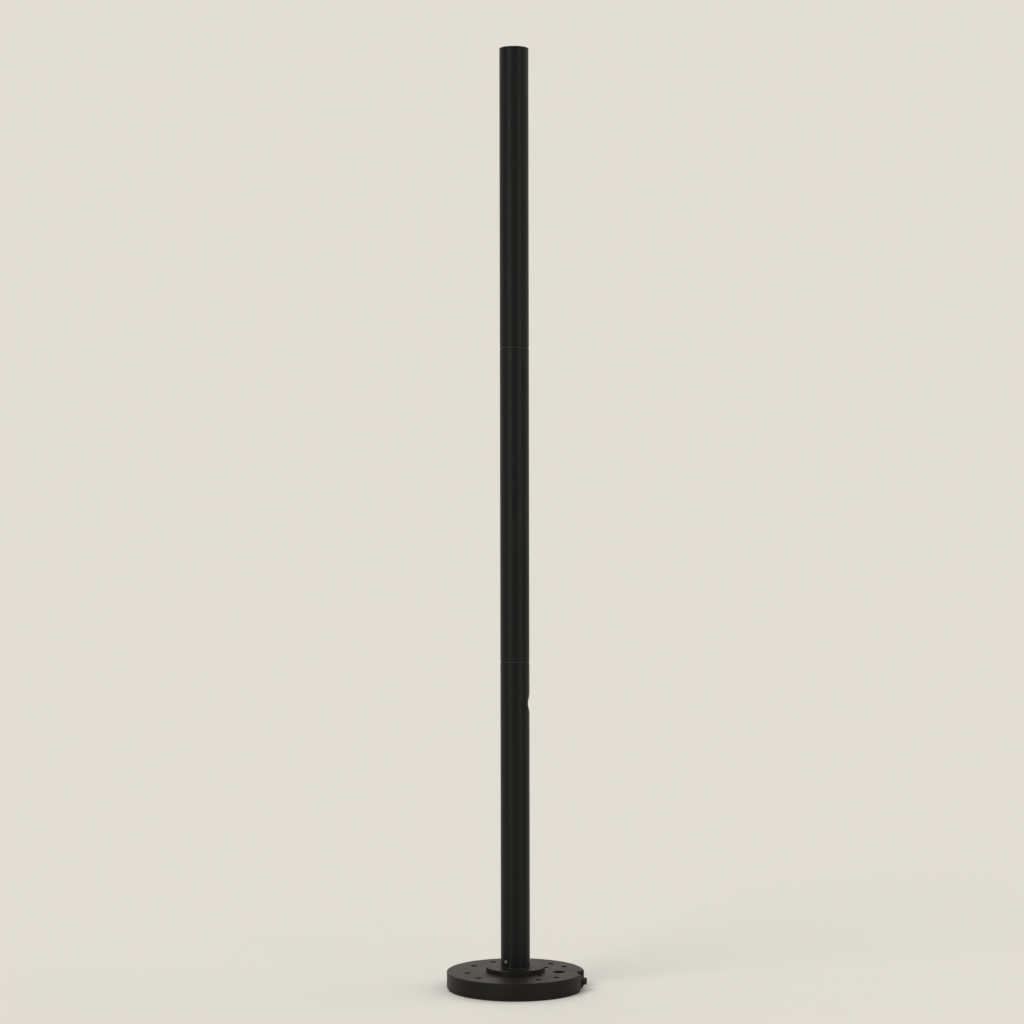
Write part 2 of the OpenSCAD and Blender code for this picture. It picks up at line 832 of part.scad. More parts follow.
// Block with two screw clamps in the cable channel
module terminal_block() {
  clamp_r = 2;
  clamp_y = terminal_w / 4;
  bridge = 1;
  entry_l = terminal_l / 3;
  color(NYLON) translate([terminal_x, -terminal_w / 2, pad_h + cover_h]) difference() {
    cube([terminal_l, terminal_w, terminal_h]);
    for (side = [-1, 1]) {
      translate([terminal_l / 2, terminal_w / 2 + side * clamp_y, terminal_h / 2])
        cylinder(r = clamp_r, h = terminal_h);
      for (x = [-past, terminal_l - entry_l])
        translate([x, terminal_w / 2 + side * clamp_y, terminal_h / 2 - bridge])
          rotate([0, 90, 0]) cylinder(r = clamp_r, h = entry_l + past);
    }
  }
}

// Lead from the terminal block, round a bend and up the axis to the top of the first spigot
module base_lead() {
  lead_z = pad_h + cover_h + terminal_h / 2;
  bend = [for (a = [0:15:90]) [bend_r * (1 - sin(a)), lead_z + bend_r * (1 - cos(a))]];
  color(RUBBER_BLACK) cable(
    concat([[terminal_x - fit, lead_z]], bend, [[0, lead_end]]),
    cable_r
  );
}

// Lead from the first spigot up into the driver
module driver_lead() {
  color(RUBBER_BLACK) translate([0, 0, lead_end + air])
    cylinder(r = cable_r, h = carrier_z + carrier_wall - lead_end);
}

// Cradle that holds the driver in the lower tube
module driver_carrier() {
  r = tube_r - drop;
  rise = driver_l + 2 * carrier_wall + 2 * air;
  color(NYLON) translate([0, 0, carrier_z]) rotate([0, 0, lower_aim]) difference() {
    cylinder(r = r, h = rise);
    translate([-driver_t / 2 - air, -pole_r, carrier_wall])
      cube([2 * pole_r, 2 * pole_r, rise - 2 * carrier_wall]);
    translate([-2 * pole_r - driver_t / 2 - air - carrier_wall, -pole_r, carrier_wall])
      cube([2 * pole_r, 2 * pole_r, rise - 2 * carrier_wall]);
    translate([0, 0, -past]) cylinder(r = cable_r + air, h = rise + 2 * past);
  }
}

// Sealed power supply, a block with cut corners
module driver() {
  corner = 2;
  color(MATT_ALUMINIUM) translate([0, 0, carrier_z + carrier_wall + air]) rotate([0, 0, lower_aim])
    linear_extrude(driver_l) cut_rectangle(-driver_t / 2, driver_t / 2, driver_w, corner);
}

module lower_feed_cable() {
  feed_cable(LOWER, concat(
    cable_in(LOWER, carrier_z + carrier_wall + air + driver_l),
    cable_out(LOWER)
  ));
}

module middle_feed_cable() {
  feed_cable(MIDDLE, concat(
    cable_in(MIDDLE, seats[MIDDLE] + spigot_rise + air),
    cable_out(MIDDLE)
  ));
}

// The last cable ends behind the top lamp
module top_feed_cable() {
  feed_cable(TOP, concat(
    cable_in(TOP, seats[TOP] + spigot_rise + air),
    [[-cable_x, notch_zs[TOP] + wire_z + cable_r]]
  ));
}

module top_cap() {
  plug_r = tube_r - fit;
  color(POWDER_BLACK) difference() {
    translate([0, 0, total_h]) turned([
      [0, 0],
      [pole_r - cap_chamfer, 0],
      [pole_r, -cap_chamfer],
      [pole_r, -cap_h],
      [plug_r, -cap_h],
      [plug_r, -cap_h - plug_h],
      [0, -cap_h - plug_h]
    ]);
    translate([0, 0, total_h]) ring_groove(plug_r - seal_depth, -cap_h - plug_h / 2, seal_groove_w);
  }
}

module top_cap_seal() {
  color(RUBBER_BLACK) translate([0, 0, total_h - cap_h - plug_h / 2])
    rotate_extrude() translate([tube_r - fit - seal_section_r, 0]) circle(r = seal_section_r);
}

floor_pad();
base_plate();
base_cover_plate();
cover_plate_screws();
pole_flange();
flange_screws();
gland_body();
gland_seal();
gland_nut();
terminal_block();
base_lead();
slip_washer(LOWER);  // lower_slip_washer
swivel_seal(LOWER);  // lower_swivel_seal
tube(LOWER, lower_friction_ats);  // lower_tube
friction_screws(LOWER, lower_friction_ats);  // lower_friction_screws
stop_screw(LOWER);  // lower_stop_screw
driver();
driver_carrier();
driver_lead();
lower_feed_cable();
lamp_housing(LOWER);  // lower_lamp_housing
housing_screws(LOWER);  // lower_housing_screws
lens_ring(LOWER);  // lower_lens_ring
lens(LOWER);  // lower_lens
lens_gasket(LOWER);  // lower_lens_gasket
reflector(LOWER);  // lower_reflector
led_board(LOWER);  // lower_led_board
led(LOWER);  // lower_led
spigot(MIDDLE);  // middle_spigot
slip_washer(MIDDLE);  // middle_slip_washer
swivel_seal(MIDDLE);  // middle_swivel_seal
tube(MIDDLE, upper_friction_ats);  // middle_tube
friction_screws(MIDDLE, upper_friction_ats);  // middle_friction_screws
stop_screw(MIDDLE);  // middle_stop_screw
middle_feed_cable();
lamp_housing(MIDDLE);  // middle_lamp_housing
housing_screws(MIDDLE);  // middle_housing_screws
lens_ring(MIDDLE);  // middle_lens_ring
lens(MIDDLE);  // middle_lens
lens_gasket(MIDDLE);  // middle_lens_gasket
reflector(MIDDLE);  // middle_reflector
led_board(MIDDLE);  // middle_led_board
led(MIDDLE);  // middle_led
spigot(TOP);  // top_spigot
slip_washer(TOP);  // top_slip_washer
swivel_seal(TOP);  // top_swivel_seal
tube(TOP, upper_friction_ats);  // top_tube
friction_screws(TOP, upper_friction_ats);  // top_friction_screws
stop_screw(TOP);  // top_stop_screw
top_feed_cable();
lamp_housing(TOP);  // top_lamp_housing
housing_screws(TOP);  // top_housing_screws
lens_ring(TOP);  // top_lens_ring
lens(TOP);  // top_lens
lens_gasket(TOP);  // top_lens_gasket
reflector(TOP);  // top_reflector
led_board(TOP);  // top_led_board
led(TOP);  // top_led
top_cap();
top_cap_seal();
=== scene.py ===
import json
import math

import bmesh
import bpy
from mathutils import Matrix, Vector


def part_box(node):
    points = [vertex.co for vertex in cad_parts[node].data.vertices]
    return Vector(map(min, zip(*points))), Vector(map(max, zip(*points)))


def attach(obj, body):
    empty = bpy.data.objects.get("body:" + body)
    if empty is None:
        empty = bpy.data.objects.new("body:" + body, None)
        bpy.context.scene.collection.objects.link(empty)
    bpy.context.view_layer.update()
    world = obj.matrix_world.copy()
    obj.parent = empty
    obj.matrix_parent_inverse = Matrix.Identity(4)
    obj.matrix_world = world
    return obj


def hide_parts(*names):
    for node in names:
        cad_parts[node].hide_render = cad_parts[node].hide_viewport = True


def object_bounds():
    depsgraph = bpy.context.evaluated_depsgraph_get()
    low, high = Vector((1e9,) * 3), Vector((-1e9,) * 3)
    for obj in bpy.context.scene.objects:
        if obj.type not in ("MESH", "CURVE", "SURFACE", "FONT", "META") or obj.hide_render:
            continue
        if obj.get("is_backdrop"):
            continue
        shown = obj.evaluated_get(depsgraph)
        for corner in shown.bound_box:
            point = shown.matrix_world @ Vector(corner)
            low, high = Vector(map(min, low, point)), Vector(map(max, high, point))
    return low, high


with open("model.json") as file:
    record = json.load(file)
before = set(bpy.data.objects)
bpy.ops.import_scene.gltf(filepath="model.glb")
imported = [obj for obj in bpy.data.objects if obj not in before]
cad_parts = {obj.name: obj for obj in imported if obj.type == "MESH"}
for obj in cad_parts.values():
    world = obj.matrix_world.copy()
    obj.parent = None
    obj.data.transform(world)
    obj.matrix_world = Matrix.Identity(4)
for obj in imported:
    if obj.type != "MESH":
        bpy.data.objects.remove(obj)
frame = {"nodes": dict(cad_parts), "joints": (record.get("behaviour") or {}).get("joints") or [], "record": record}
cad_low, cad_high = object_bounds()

# Camera, floor and light
# The lamp is seen as in the photograph: level, from half its height, through a portrait lens.
# It stands on a pale floor that meets a pale surrounding. Two low window lights in front draw
# the soft bands of satin shine down the pole.
MM = 0.001
FOCAL_LENGTH = 85
CAMERA_DISTANCE = 3.859
CAMERA_HEIGHT = 0.760
CAMERA_SIDE = -0.0042
CAMERA_TURN = math.radians(9)
CAMERA_ROLL = math.radians(0.1)
FLOOR_R = 40
FLOOR_SIDES = 128
FLOOR_COLOUR = "#d2cdc4"
EVEN_LIGHT = 0.62
# Strength of each lamp, and the width of its source, its height and its direction in degrees
LAMPS = [("key", 1.3, 30, 48, -128), ("fill", 0.6, 50, 38, 25), ("back", 0.5, 40, 55, 118),
         ("left_window", 0.45, 12, 3, -119), ("right_window", 0.35, 12, 3, -37)]


def linear(colour):
    """Linear red, green, blue and alpha of an sRGB hex colour."""
    parts = [int(colour[k:k + 2], 16) / 255 for k in (1, 3, 5)]
    return [p / 12.92 if p <= 0.04045 else ((p + 0.055) / 1.055) ** 2.4 for p in parts] + [1]


def add(tree, kind, inputs=None, **settings):
    """Adds a shader node. Each input takes a value, or the output of another node."""
    node = tree.nodes.new("ShaderNode" + kind)
    for name, value in settings.items():
        setattr(node, name, value)
    for name, value in (inputs or {}).items():
        if isinstance(value, bpy.types.NodeSocket):
            tree.links.new(value, node.inputs[name])
        else:
            node.inputs[name].default_value = value
    return node


def new_material(name):
    """A material with an empty node tree, and its object coordinates."""
    material = bpy.data.materials.new(name)
    material.use_nodes = True
    material.node_tree.nodes.clear()
    return material, material.node_tree, add(material.node_tree, "TexCoord").outputs["Object"]


camera_place = Matrix.Rotation(CAMERA_TURN, 4, "Z") @ Vector((CAMERA_SIDE, -CAMERA_DISTANCE, CAMERA_HEIGHT))
bpy.ops.object.camera_add(location=camera_place, rotation=(math.radians(90), CAMERA_ROLL, CAMERA_TURN))
camera = bpy.context.object
camera.data.lens = FOCAL_LENGTH
bpy.context.scene.camera = camera
bpy.context.scene.view_settings.view_transform = "Standard"

floor_light = EVEN_LIGHT
for lamp_name, strength, width, height, direction in LAMPS:
    tilt = math.radians(90 - height)
    turn = math.radians(direction + 90)
    bpy.ops.object.light_add(type="SUN", rotation=(tilt, 0, turn))
    lamp = bpy.context.object
    lamp.name = lamp_name
    lamp.data.energy = strength
    lamp.data.angle = math.radians(width)
    floor_light += strength * math.cos(tilt) / math.pi

# The room lights the lamp evenly. The camera, reflections and glass see it in the floor's own shade
horizon = [floor_light * part for part in linear(FLOOR_COLOUR)[:3]] + [1]
world = bpy.data.worlds.new("pale_room")
bpy.context.scene.world = world
world.use_nodes = True
world.node_tree.nodes.clear()
path = add(world.node_tree, "LightPath")
seen = add(world.node_tree, "Math", {0: path.outputs["Is Camera Ray"], 1: path.outputs["Is Glossy Ray"]},
           operation="ADD")
seen = add(world.node_tree, "Math", {0: seen.outputs[0], 1: path.outputs["Is Transmission Ray"]},
           operation="ADD", use_clamp=True)
even = add(world.node_tree, "Background", {"Color": [1, 1, 1, 1], "Strength": EVEN_LIGHT})
backdrop = add(world.node_tree, "Background", {"Color": horizon, "Strength": 1})
room = add(world.node_tree, "MixShader", {0: seen.outputs[0], 1: even.outputs[0], 2: backdrop.outputs[0]})
add(world.node_tree, "OutputWorld", {"Surface": room.outputs[0]})

bpy.ops.object.select_all(action="DESELECT")
bpy.ops.mesh.primitive_circle_add(vertices=FLOOR_SIDES, radius=FLOOR_R, fill_type="NGON",
                                  location=(0, 0, 0))
floor = bpy.context.object
floor.name = "floor"
paper, paper_tree, _ = new_material("pale_floor")
paper_shader = add(paper_tree, "BsdfPrincipled", {"Base Color": linear(FLOOR_COLOUR), "Roughness": 0.9,
                                                  "Specular IOR Level": 0.0})
add(paper_tree, "OutputMaterial", {"Surface": paper_shader.outputs[0]})
floor.data.materials.append(paper)
floor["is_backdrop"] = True

# Floor pad
# A disc of black rubber sheet, glued under the base plate so that it neither slides nor
# scratches. It is punched round the fixing holes and moulded with fine rings underneath.
SIDES = 96
BASE_SIDES = 192
HOLE_SIDES = 48
WELD_DISTANCE = 0.001 * MM
SMOOTH_BELOW = math.radians(32)
PAD_HOLE_R = 5.3 * MM
PAD_RING_STEP = 12 * MM
PAD_RING_W = 1.2 * MM
PAD_RING_DEPTH = 0.5 * MM
PAD_ROUNDING = 0.3 * MM
CUTOUT_W = 18 * MM
CUTOUT_DEPTH = 10 * MM
CUTOUT_SPREAD = math.radians(50)
CUTTER_PAST = 3 * MM
mounts = {mount["name"]: mount for mount in frame["record"]["mounts"]}


def activate(piece):
    """Makes a piece the only selected and active one, in object mode."""
    if bpy.context.object and bpy.context.object.mode == "EDIT":
        bpy.ops.object.mode_set(mode="OBJECT")
    bpy.ops.object.select_all(action="DESELECT")
    piece.select_set(True)
    bpy.context.view_layer.objects.active = piece


def started(name):
    """Names the primitive that was just added, puts its place into its mesh and opens it for editing."""
    piece = bpy.context.object
    piece.name = name
    bpy.ops.object.transform_apply()
    bpy.ops.object.mode_set(mode="EDIT")
    return piece


def choose(test, kind="FACE"):
    """Selects the faces, edges or corners that pass a test, in edit mode."""
    bpy.ops.mesh.select_mode(type=kind)
    bpy.ops.mesh.select_all(action="DESELECT")
    mesh = bmesh.from_edit_mesh(bpy.context.object.data)
    for item in {"FACE": mesh.faces, "EDGE": mesh.edges, "VERT": mesh.verts}[kind]:
        item.select_set(test(item))
    mesh.select_flush_mode()
    bmesh.update_edit_mesh(bpy.context.object.data)


def turned(name, outline, bored=False, sides=SIDES):
    """A turned piece: a ring is extruded from point to point of an outline of radius and height.
    A bored piece closes on its first ring, and a solid one gets a flat face at both ends."""
    bpy.ops.object.select_all(action="DESELECT")
    radius, height = outline[0]
    bpy.ops.mesh.primitive_circle_add(vertices=sides, radius=radius, location=(0, 0, height))
    piece = started(name)
    bpy.ops.mesh.select_all(action="SELECT")
    if not bored:
        bpy.ops.mesh.edge_face_add()
        bpy.ops.mesh.select_mode(type="EDGE")
        bpy.ops.mesh.select_all(action="SELECT")
    for next_radius, next_height in outline[1:] + (outline[:1] if bored else []):
        bpy.ops.mesh.extrude_edges_move(TRANSFORM_OT_translate={"value": (0, 0, next_height - height)})
        grown = next_radius / radius
        bpy.ops.transform.resize(value=(grown, grown, 1), center_override=(0, 0, 0))
        radius, height = next_radius, next_height
    if bored:
        bpy.ops.mesh.select_all(action="SELECT")
        bpy.ops.mesh.remove_doubles(threshold=WELD_DISTANCE)
    else:
        bpy.ops.mesh.edge_face_add()
    bpy.ops.mesh.select_all(action="SELECT")
    bpy.ops.mesh.normals_make_consistent(inside=False)
    bpy.ops.object.mode_set(mode="OBJECT")
    return piece


def block(name, low, high):
    """A rectangular piece between two corners."""
    bpy.ops.object.select_all(action="DESELECT")
    size = Vector(high) - Vector(low)
    bpy.ops.mesh.primitive_cube_add(size=1, location=(Vector(high) + Vector(low)) / 2, scale=size)
    piece = started(name)
    bpy.ops.object.mode_set(mode="OBJECT")
    return piece


def copied(piece, name, place):
    """A copy of a piece with its own mesh, put in its place."""
    twin = piece.copy()
    twin.data = piece.data.copy()
    twin.name = name
    bpy.context.collection.objects.link(twin)
    twin.data.transform(place)
    return twin


def cut(piece, *tools):
    """Cuts the tools' shapes out of a piece and throws the tools away."""
    for tool in tools:
        knife = piece.modifiers.new("cut", "BOOLEAN")
        knife.operation = "DIFFERENCE"
        knife.solver = "EXACT"
        knife.object = tool
        activate(piece)
        bpy.ops.object.modifier_apply(modifier=knife.name)
        bpy.data.objects.remove(tool)


def round_edges(piece, width, segments=2, sharper_than=30):
    """Rounds every edge of a piece that is sharper than an angle."""
    rounding = piece.modifiers.new("rounding", "BEVEL")
    rounding.width = width
    rounding.segments = segments
    rounding.limit_method = "ANGLE"
    rounding.angle_limit = math.radians(sharper_than)
    activate(piece)
    bpy.ops.object.modifier_apply(modifier=rounding.name)


def finished(piece, material, body, slot, *nodes):
    """Smooths and coats a piece, hangs it on the body that it rides on and hides the solids that it
    stands for. Large faces lead the shading, so flat ones stay flat up to their rounded edges."""
    activate(piece)
    bpy.ops.object.shade_smooth_by_angle(angle=SMOOTH_BELOW)
    flatter = piece.modifiers.new("flatter", "WEIGHTED_NORMAL")
    flatter.keep_sharp = True
    bpy.ops.object.modifier_apply(modifier=flatter.name)
    piece.data.materials.clear()
    piece.data.materials.append(material)
    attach(piece, body)
    if nodes:
        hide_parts(*nodes)


def rim_cutout_tool(low_z, high_z, widened=0):
    """Tool for the cut-out in the rim that the cable gland sits in. It spreads towards the rim, and
    a widened upper face slopes all its sides alike, to break the edge that it cuts."""
    back, front = base_r - CUTOUT_DEPTH, base_r + CUTTER_PAST
    tool = block("rim_cutout_tool", (back, -CUTOUT_W / 2, low_z), (front, CUTOUT_W / 2, high_z))
    bpy.ops.object.mode_set(mode="EDIT")
    choose(lambda v: v.co.x > base_r, "VERT")
    grown = 1 + 2 * (front - back) * math.tan(CUTOUT_SPREAD) / CUTOUT_W
    bpy.ops.transform.resize(value=(1, grown, 1), center_override=(0, 0, 0))
    choose(lambda v: v.co.z > (low_z + high_z) / 2, "VERT")
    alike = CUTOUT_W / 2 * math.cos(CUTOUT_SPREAD) / (1 - math.sin(CUTOUT_SPREAD))
    grown = 1 + widened / alike
    bpy.ops.transform.resize(value=(grown, grown, 1), center_override=(back + alike, 0, 0))
    bpy.ops.object.mode_set(mode="OBJECT")
    return tool


def fixing_hole_places():
    """Middle of every fixing hole, from the bolt patterns of the record."""
    places = []
    for mount in mounts.values():
        if mount["kind"] == "bolt_pattern":
            x, y, _ = mount["pos_m"]
            half_x = mount["dims"].get("spacing_x_mm", 0) / 2 * MM
            half_y = mount["dims"].get("spacing_y_mm", 0) / 2 * MM
            xs = [x - half_x, x + half_x] if half_x else [x]
            places += [(px, py) for px in xs for py in (y - half_y, y + half_y)]
    return places


def rubber(name, colour, speckle, roughness, grain):
    """Rubber, moulded or punched from sheet: matt, dark, with a fine bloom that greys it in patches."""
    material, tree, place = new_material(name)
    bloom = add(tree, "TexNoise", {"Vector": place, "Scale": 1 / (14 * MM), "Detail": 4})
    fine = add(tree, "TexNoise", {"Vector": place, "Scale": 1 / grain, "Detail": 3})
    tint = add(tree, "Mix", {0: bloom.outputs[0], 6: linear(colour), 7: linear(speckle)}, data_type="RGBA")
    relief = add(tree, "Bump", {"Strength": 0.4, "Distance": 0.05 * MM, "Height": fine.outputs[0]})
    shader = add(tree, "BsdfPrincipled", {"Base Color": tint.outputs[2], "Roughness": roughness,
                                          "Specular IOR Level": 0.35, "Normal": relief.outputs[0]})
    add(tree, "OutputMaterial", {"Surface": shader.outputs[0]})
    return material


pad_low, pad_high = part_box("floor_pad")
base_low, base_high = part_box("base_plate")
pad_r = pad_high.y
base_r = base_high.y
base_top = base_high.z
pad_outline = [(PAD_RING_STEP / 2, pad_low.z)]
ring_top = pad_low.z + PAD_RING_DEPTH
for number in range(1, int(pad_r / PAD_RING_STEP)):
    inner = number * PAD_RING_STEP
    outer = inner + PAD_RING_W
    pad_outline += [(inner, pad_low.z), (inner, ring_top), (outer, ring_top), (outer, pad_low.z)]
pad_outline += [(pad_r - PAD_ROUNDING, pad_low.z), (pad_r, pad_low.z + PAD_ROUNDING), (pad_r, pad_high.z)]
floor_pad = turned("floor_pad_rubber", pad_outline, sides=BASE_SIDES)
pad_punch = turned("pad_punch", [
    (PAD_HOLE_R, pad_low.z - CUTTER_PAST), (PAD_HOLE_R, pad_high.z + CUTTER_PAST)
], sides=HOLE_SIDES)
pad_tools = [copied(pad_punch, "pad_hole", Matrix.Translation((x, y, 0))) for x, y in fixing_hole_places()]
bpy.data.objects.remove(pad_punch)
cut(floor_pad, rim_cutout_tool(pad_low.z - CUTTER_PAST, pad_high.z + CUTTER_PAST), *pad_tools)
black_rubber = rubber("epdm_rubber", "#171615", "#23211f", 0.85, 0.8 * MM)
finished(floor_pad, black_rubber, "base", "black_rubber", "floor_pad")

# Base plate
# A thick steel disc, cut from plate, drilled and milled, then shot blasted and powder coated in
# black. Its fixing holes are lightly countersunk, and a channel underneath holds the wiring.
BASE_RIM_ROUNDING = 1.0 * MM
BASE_FOOT_ROUNDING = 0.6 * MM
FIXING_HOLE_R = 5 * MM
HOLE_CHAMFER = 0.5 * MM
CENTRE_HOLE_R = 9 * MM
TAPPED_HOLE_R = 3.05 * MM
TAPPED_HOLE_DEPTH = 16 * MM
FLANGE_SCREWS = 4
FLANGE_SCREW_CIRCLE = 36.5 * MM
FLANGE_SCREW_AT = 54
CHANNEL_BACK = 12 * MM
CHANNEL_W = 20 * MM
CHANNEL_ROOF = 6 * MM
CHANNEL_WALL = 12 * MM
COVER_LEDGE = 6 * MM
COVER_RECESS_DEPTH = 1.5 * MM
GLAND_HOLE_R = 6.05 * MM
NEAR = 0.1 * MM
along_x = Matrix.Rotation(math.radians(90), 4, "Y")


def hole_tool(name, radius, low_z, high_z, chamfer=0):
    """Tool for a round hole, widened where it breaks the upper face."""
    outline = [(radius, low_z), (radius, high_z - chamfer)]
    if chamfer:
        outline += [(radius + chamfer, high_z)]
    outline += [(radius + chamfer, high_z + CUTTER_PAST)]
    return turned(name, outline, sides=HOLE_SIDES)


def powder_coat(name, colour, thin_colour, roughness, grain):
    """Black polyester powder, sprayed and baked: satin, with a fine even grain over the soft waves
    of orange peel, and a slightly greyer cast where the film is thin. The grain is drawn coarser
    than its real tenths of a millimetre, so that it shows."""
    material, tree, place = new_material(name)
    cloud = add(tree, "TexNoise", {"Vector": place, "Scale": 1 / (45 * MM), "Detail": 3, "Roughness": 0.6})
    peel = add(tree, "TexNoise", {"Vector": place, "Scale": 1 / (3 * MM), "Detail": 1})
    beads = add(tree, "TexNoise", {"Vector": place, "Scale": 1 / grain, "Detail": 2, "Roughness": 0.6})
    tint = add(tree, "Mix", {0: cloud.outputs[0], 6: linear(colour), 7: linear(thin_colour)},
               data_type="RGBA")
    gloss = add(tree, "MapRange", {"Value": cloud.outputs[0], "From Min": 0.3, "From Max": 0.7,
                                   "To Min": roughness - 0.05, "To Max": roughness + 0.05})
    waves = add(tree, "Bump", {"Strength": 0.5, "Distance": 0.1 * MM, "Height": peel.outputs[0]})
    relief = add(tree, "Bump", {"Strength": 0.6, "Distance": 0.12 * MM, "Height": beads.outputs[0],
                                "Normal": waves.outputs[0]})
    shader = add(tree, "BsdfPrincipled", {"Base Color": tint.outputs[2], "Roughness": gloss.outputs[0],
                                          "IOR": 1.45, "Specular IOR Level": 0.16,
                                          "Normal": relief.outputs[0]})
    add(tree, "OutputMaterial", {"Surface": shader.outputs[0]})
    return material


bpy.ops.object.select_all(action="DESELECT")
bpy.ops.mesh.primitive_cylinder_add(vertices=BASE_SIDES, radius=base_r, depth=base_top - base_low.z,
                                    location=(0, 0, (base_top + base_low.z) / 2))
base_plate = started("base_plate_steel")
choose(lambda e: all(abs(v.co.z - base_top) < NEAR for v in e.verts), "EDGE")
bpy.ops.mesh.bevel(offset=BASE_RIM_ROUNDING, segments=4, affect="EDGES")
choose(lambda e: all(abs(v.co.z - base_low.z) < NEAR for v in e.verts), "EDGE")
bpy.ops.mesh.bevel(offset=BASE_FOOT_ROUNDING, segments=2, affect="EDGES")
bpy.ops.object.mode_set(mode="OBJECT")
through_low = base_low.z - CUTTER_PAST
fixing_drill = hole_tool("fixing_drill", FIXING_HOLE_R, through_low, base_top, HOLE_CHAMFER)
fixing_holes = [copied(fixing_drill, "fixing_hole", Matrix.Translation((x, y, 0)))
                for x, y in fixing_hole_places()]
flange_screw_places = [
    Matrix.Rotation(math.radians(FLANGE_SCREW_AT + 360 / FLANGE_SCREWS * k), 4, "Z")
    @ Matrix.Translation((FLANGE_SCREW_CIRCLE, 0, 0)) for k in range(FLANGE_SCREWS)
]
tap_drill = hole_tool("tap_drill", TAPPED_HOLE_R, base_top - TAPPED_HOLE_DEPTH, base_top)
tapped_holes = [copied(tap_drill, "tapped_hole", place) for place in flange_screw_places]
cable_hole = mounts["top_cable_hole"]
cable_hole_r = cable_hole["dims"]["r_mm"] * MM
cable_drill = hole_tool("cable_drill", cable_hole_r, through_low, base_top, HOLE_CHAMFER)
cable_drill.data.transform(Matrix.Translation((cable_hole["pos_m"][0], 0, 0)))
gland_z = mounts["supply_cable_entry"]["pos_m"][2]
gland_face = base_r - CUTOUT_DEPTH
channel_end = gland_face - CHANNEL_WALL
channel_tool = block("channel_tool", (-CHANNEL_BACK, -CHANNEL_W / 2, through_low),
                     (channel_end, CHANNEL_W / 2, base_top - CHANNEL_ROOF))
cover_half_w = CHANNEL_W / 2 + COVER_LEDGE
recess_tool = block("recess_tool", (-CHANNEL_BACK - COVER_LEDGE, -cover_half_w, through_low),
                    (channel_end + COVER_LEDGE, cover_half_w, base_low.z + COVER_RECESS_DEPTH))
centre_drill = hole_tool("centre_drill", CENTRE_HOLE_R, through_low, base_top)
gland_drill = turned("gland_drill", [
    (GLAND_HOLE_R, channel_end - CUTTER_PAST), (GLAND_HOLE_R, base_r)
], sides=HOLE_SIDES)
gland_drill.data.transform(Matrix.Translation((0, 0, gland_z)) @ along_x)
cut(base_plate, rim_cutout_tool(through_low, base_top + CUTTER_PAST),
    rim_cutout_tool(base_top - HOLE_CHAMFER, base_top + HOLE_CHAMFER, widened=2 * HOLE_CHAMFER),
    cable_drill, channel_tool, recess_tool, centre_drill, gland_drill, *fixing_holes, *tapped_holes)
bpy.data.objects.remove(fixing_drill)
bpy.data.objects.remove(tap_drill)
coated_steel = powder_coat("powder_coated_steel", "#0f0d0b", "#181511", 0.44, 0.8 * MM)
finished(base_plate, coated_steel, "base", "powder_coated_steel", "base_plate")

# Pole flange
# A turned steel flange with a spigot that the pole slips over. The spigot has a groove for the
# seal, one for the friction screws, and one with a tooth that stops the turn.
TUBE_WALL = 2.5 * MM
SPIGOT_CLEARANCE = 0.06 * MM
SPIGOT_RISE = 30 * MM
SPIGOT_BORE_R = 15.5 * MM
SPIGOT_CHAMFER = 1 * MM
SEAL_Z = 4 * MM
SEAL_GROOVE = (2.2 * MM, 1.75 * MM)
FRICTION_Z = 10 * MM
STOP_Z = 20 * MM
SCREW_GROOVE = (5 * MM, 2.2 * MM)
SET_SCREW_NOSE_R = 2 * MM
SET_SCREW_GAP = 0.3 * MM
HALF_TURN = math.radians(163)
FLANGE_ROUNDING = 0.8 * MM
COUNTERSINK_R = 5.75 * MM
COUNTERSINK_SHANK_R = 3.2 * MM
# Directions of the lights and of the teeth that stop their turns, in degrees from the cable gland
LIGHT_DIRECTIONS = {"lower": 63, "middle": 98, "top": 83}
TOOTH_DIRECTIONS = {
    "lower": 270, "middle": LIGHT_DIRECTIONS["lower"] + 180, "top": LIGHT_DIRECTIONS["middle"] + 180
}
# How far in from its corner a rounding's middle lies, as a share of the rounding
ARC_MIDDLE = 0.3
pole_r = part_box("top_cap")[1].x
tube_r = pole_r - TUBE_WALL
spigot_r = tube_r - SPIGOT_CLEARANCE
nose_end_r = spigot_r - SCREW_GROOVE[1] + SET_SCREW_GAP


def spigot_outline(seat):
    """Outside of a spigot above its seat, from the foot to the bore's edge, with its ring grooves."""
    points = [(spigot_r, seat)]
    for middle, (width, depth) in ((SEAL_Z, SEAL_GROOVE), (FRICTION_Z, SCREW_GROOVE)):
        low, high = seat + middle - width / 2, seat + middle + width / 2
        points += [(spigot_r, low), (spigot_r - depth, low), (spigot_r - depth, high), (spigot_r, high)]
    top = seat + SPIGOT_RISE
    return points + [(spigot_r, top - SPIGOT_CHAMFER), (spigot_r - SPIGOT_CHAMFER, top), (SPIGOT_BORE_R, top)]


def stop_groove_tool(seat, direction):
    """Tool for the groove that the stop screw runs in, broken by the tooth that ends its turn."""
    width, depth = SCREW_GROOVE
    low, high = seat + STOP_Z - width / 2, seat + STOP_Z + width / 2
    inner, outer = spigot_r - depth, spigot_r + CUTTER_PAST
    tool = turned("stop_groove_tool", [(inner, low), (outer, low), (outer, high), (inner, high)], bored=True)
    tooth_w = 2 * (nose_end_r * math.sin(math.pi - HALF_TURN) - SET_SCREW_NOSE_R - SET_SCREW_GAP)
    tooth = block("tooth", (0, -tooth_w / 2, low - MM), (outer + MM, tooth_w / 2, high + MM))
    tooth.data.transform(Matrix.Rotation(math.radians(direction), 4, "Z"))
    cut(tool, tooth)
    return tool


def rounded_corner(radius, height, rounding):
    """Three points of an outline that round its upper outer corner, from the side to the face."""
    middle = ARC_MIDDLE * rounding
    return [(radius, height - rounding), (radius - middle, height - middle), (radius - rounding, height)]


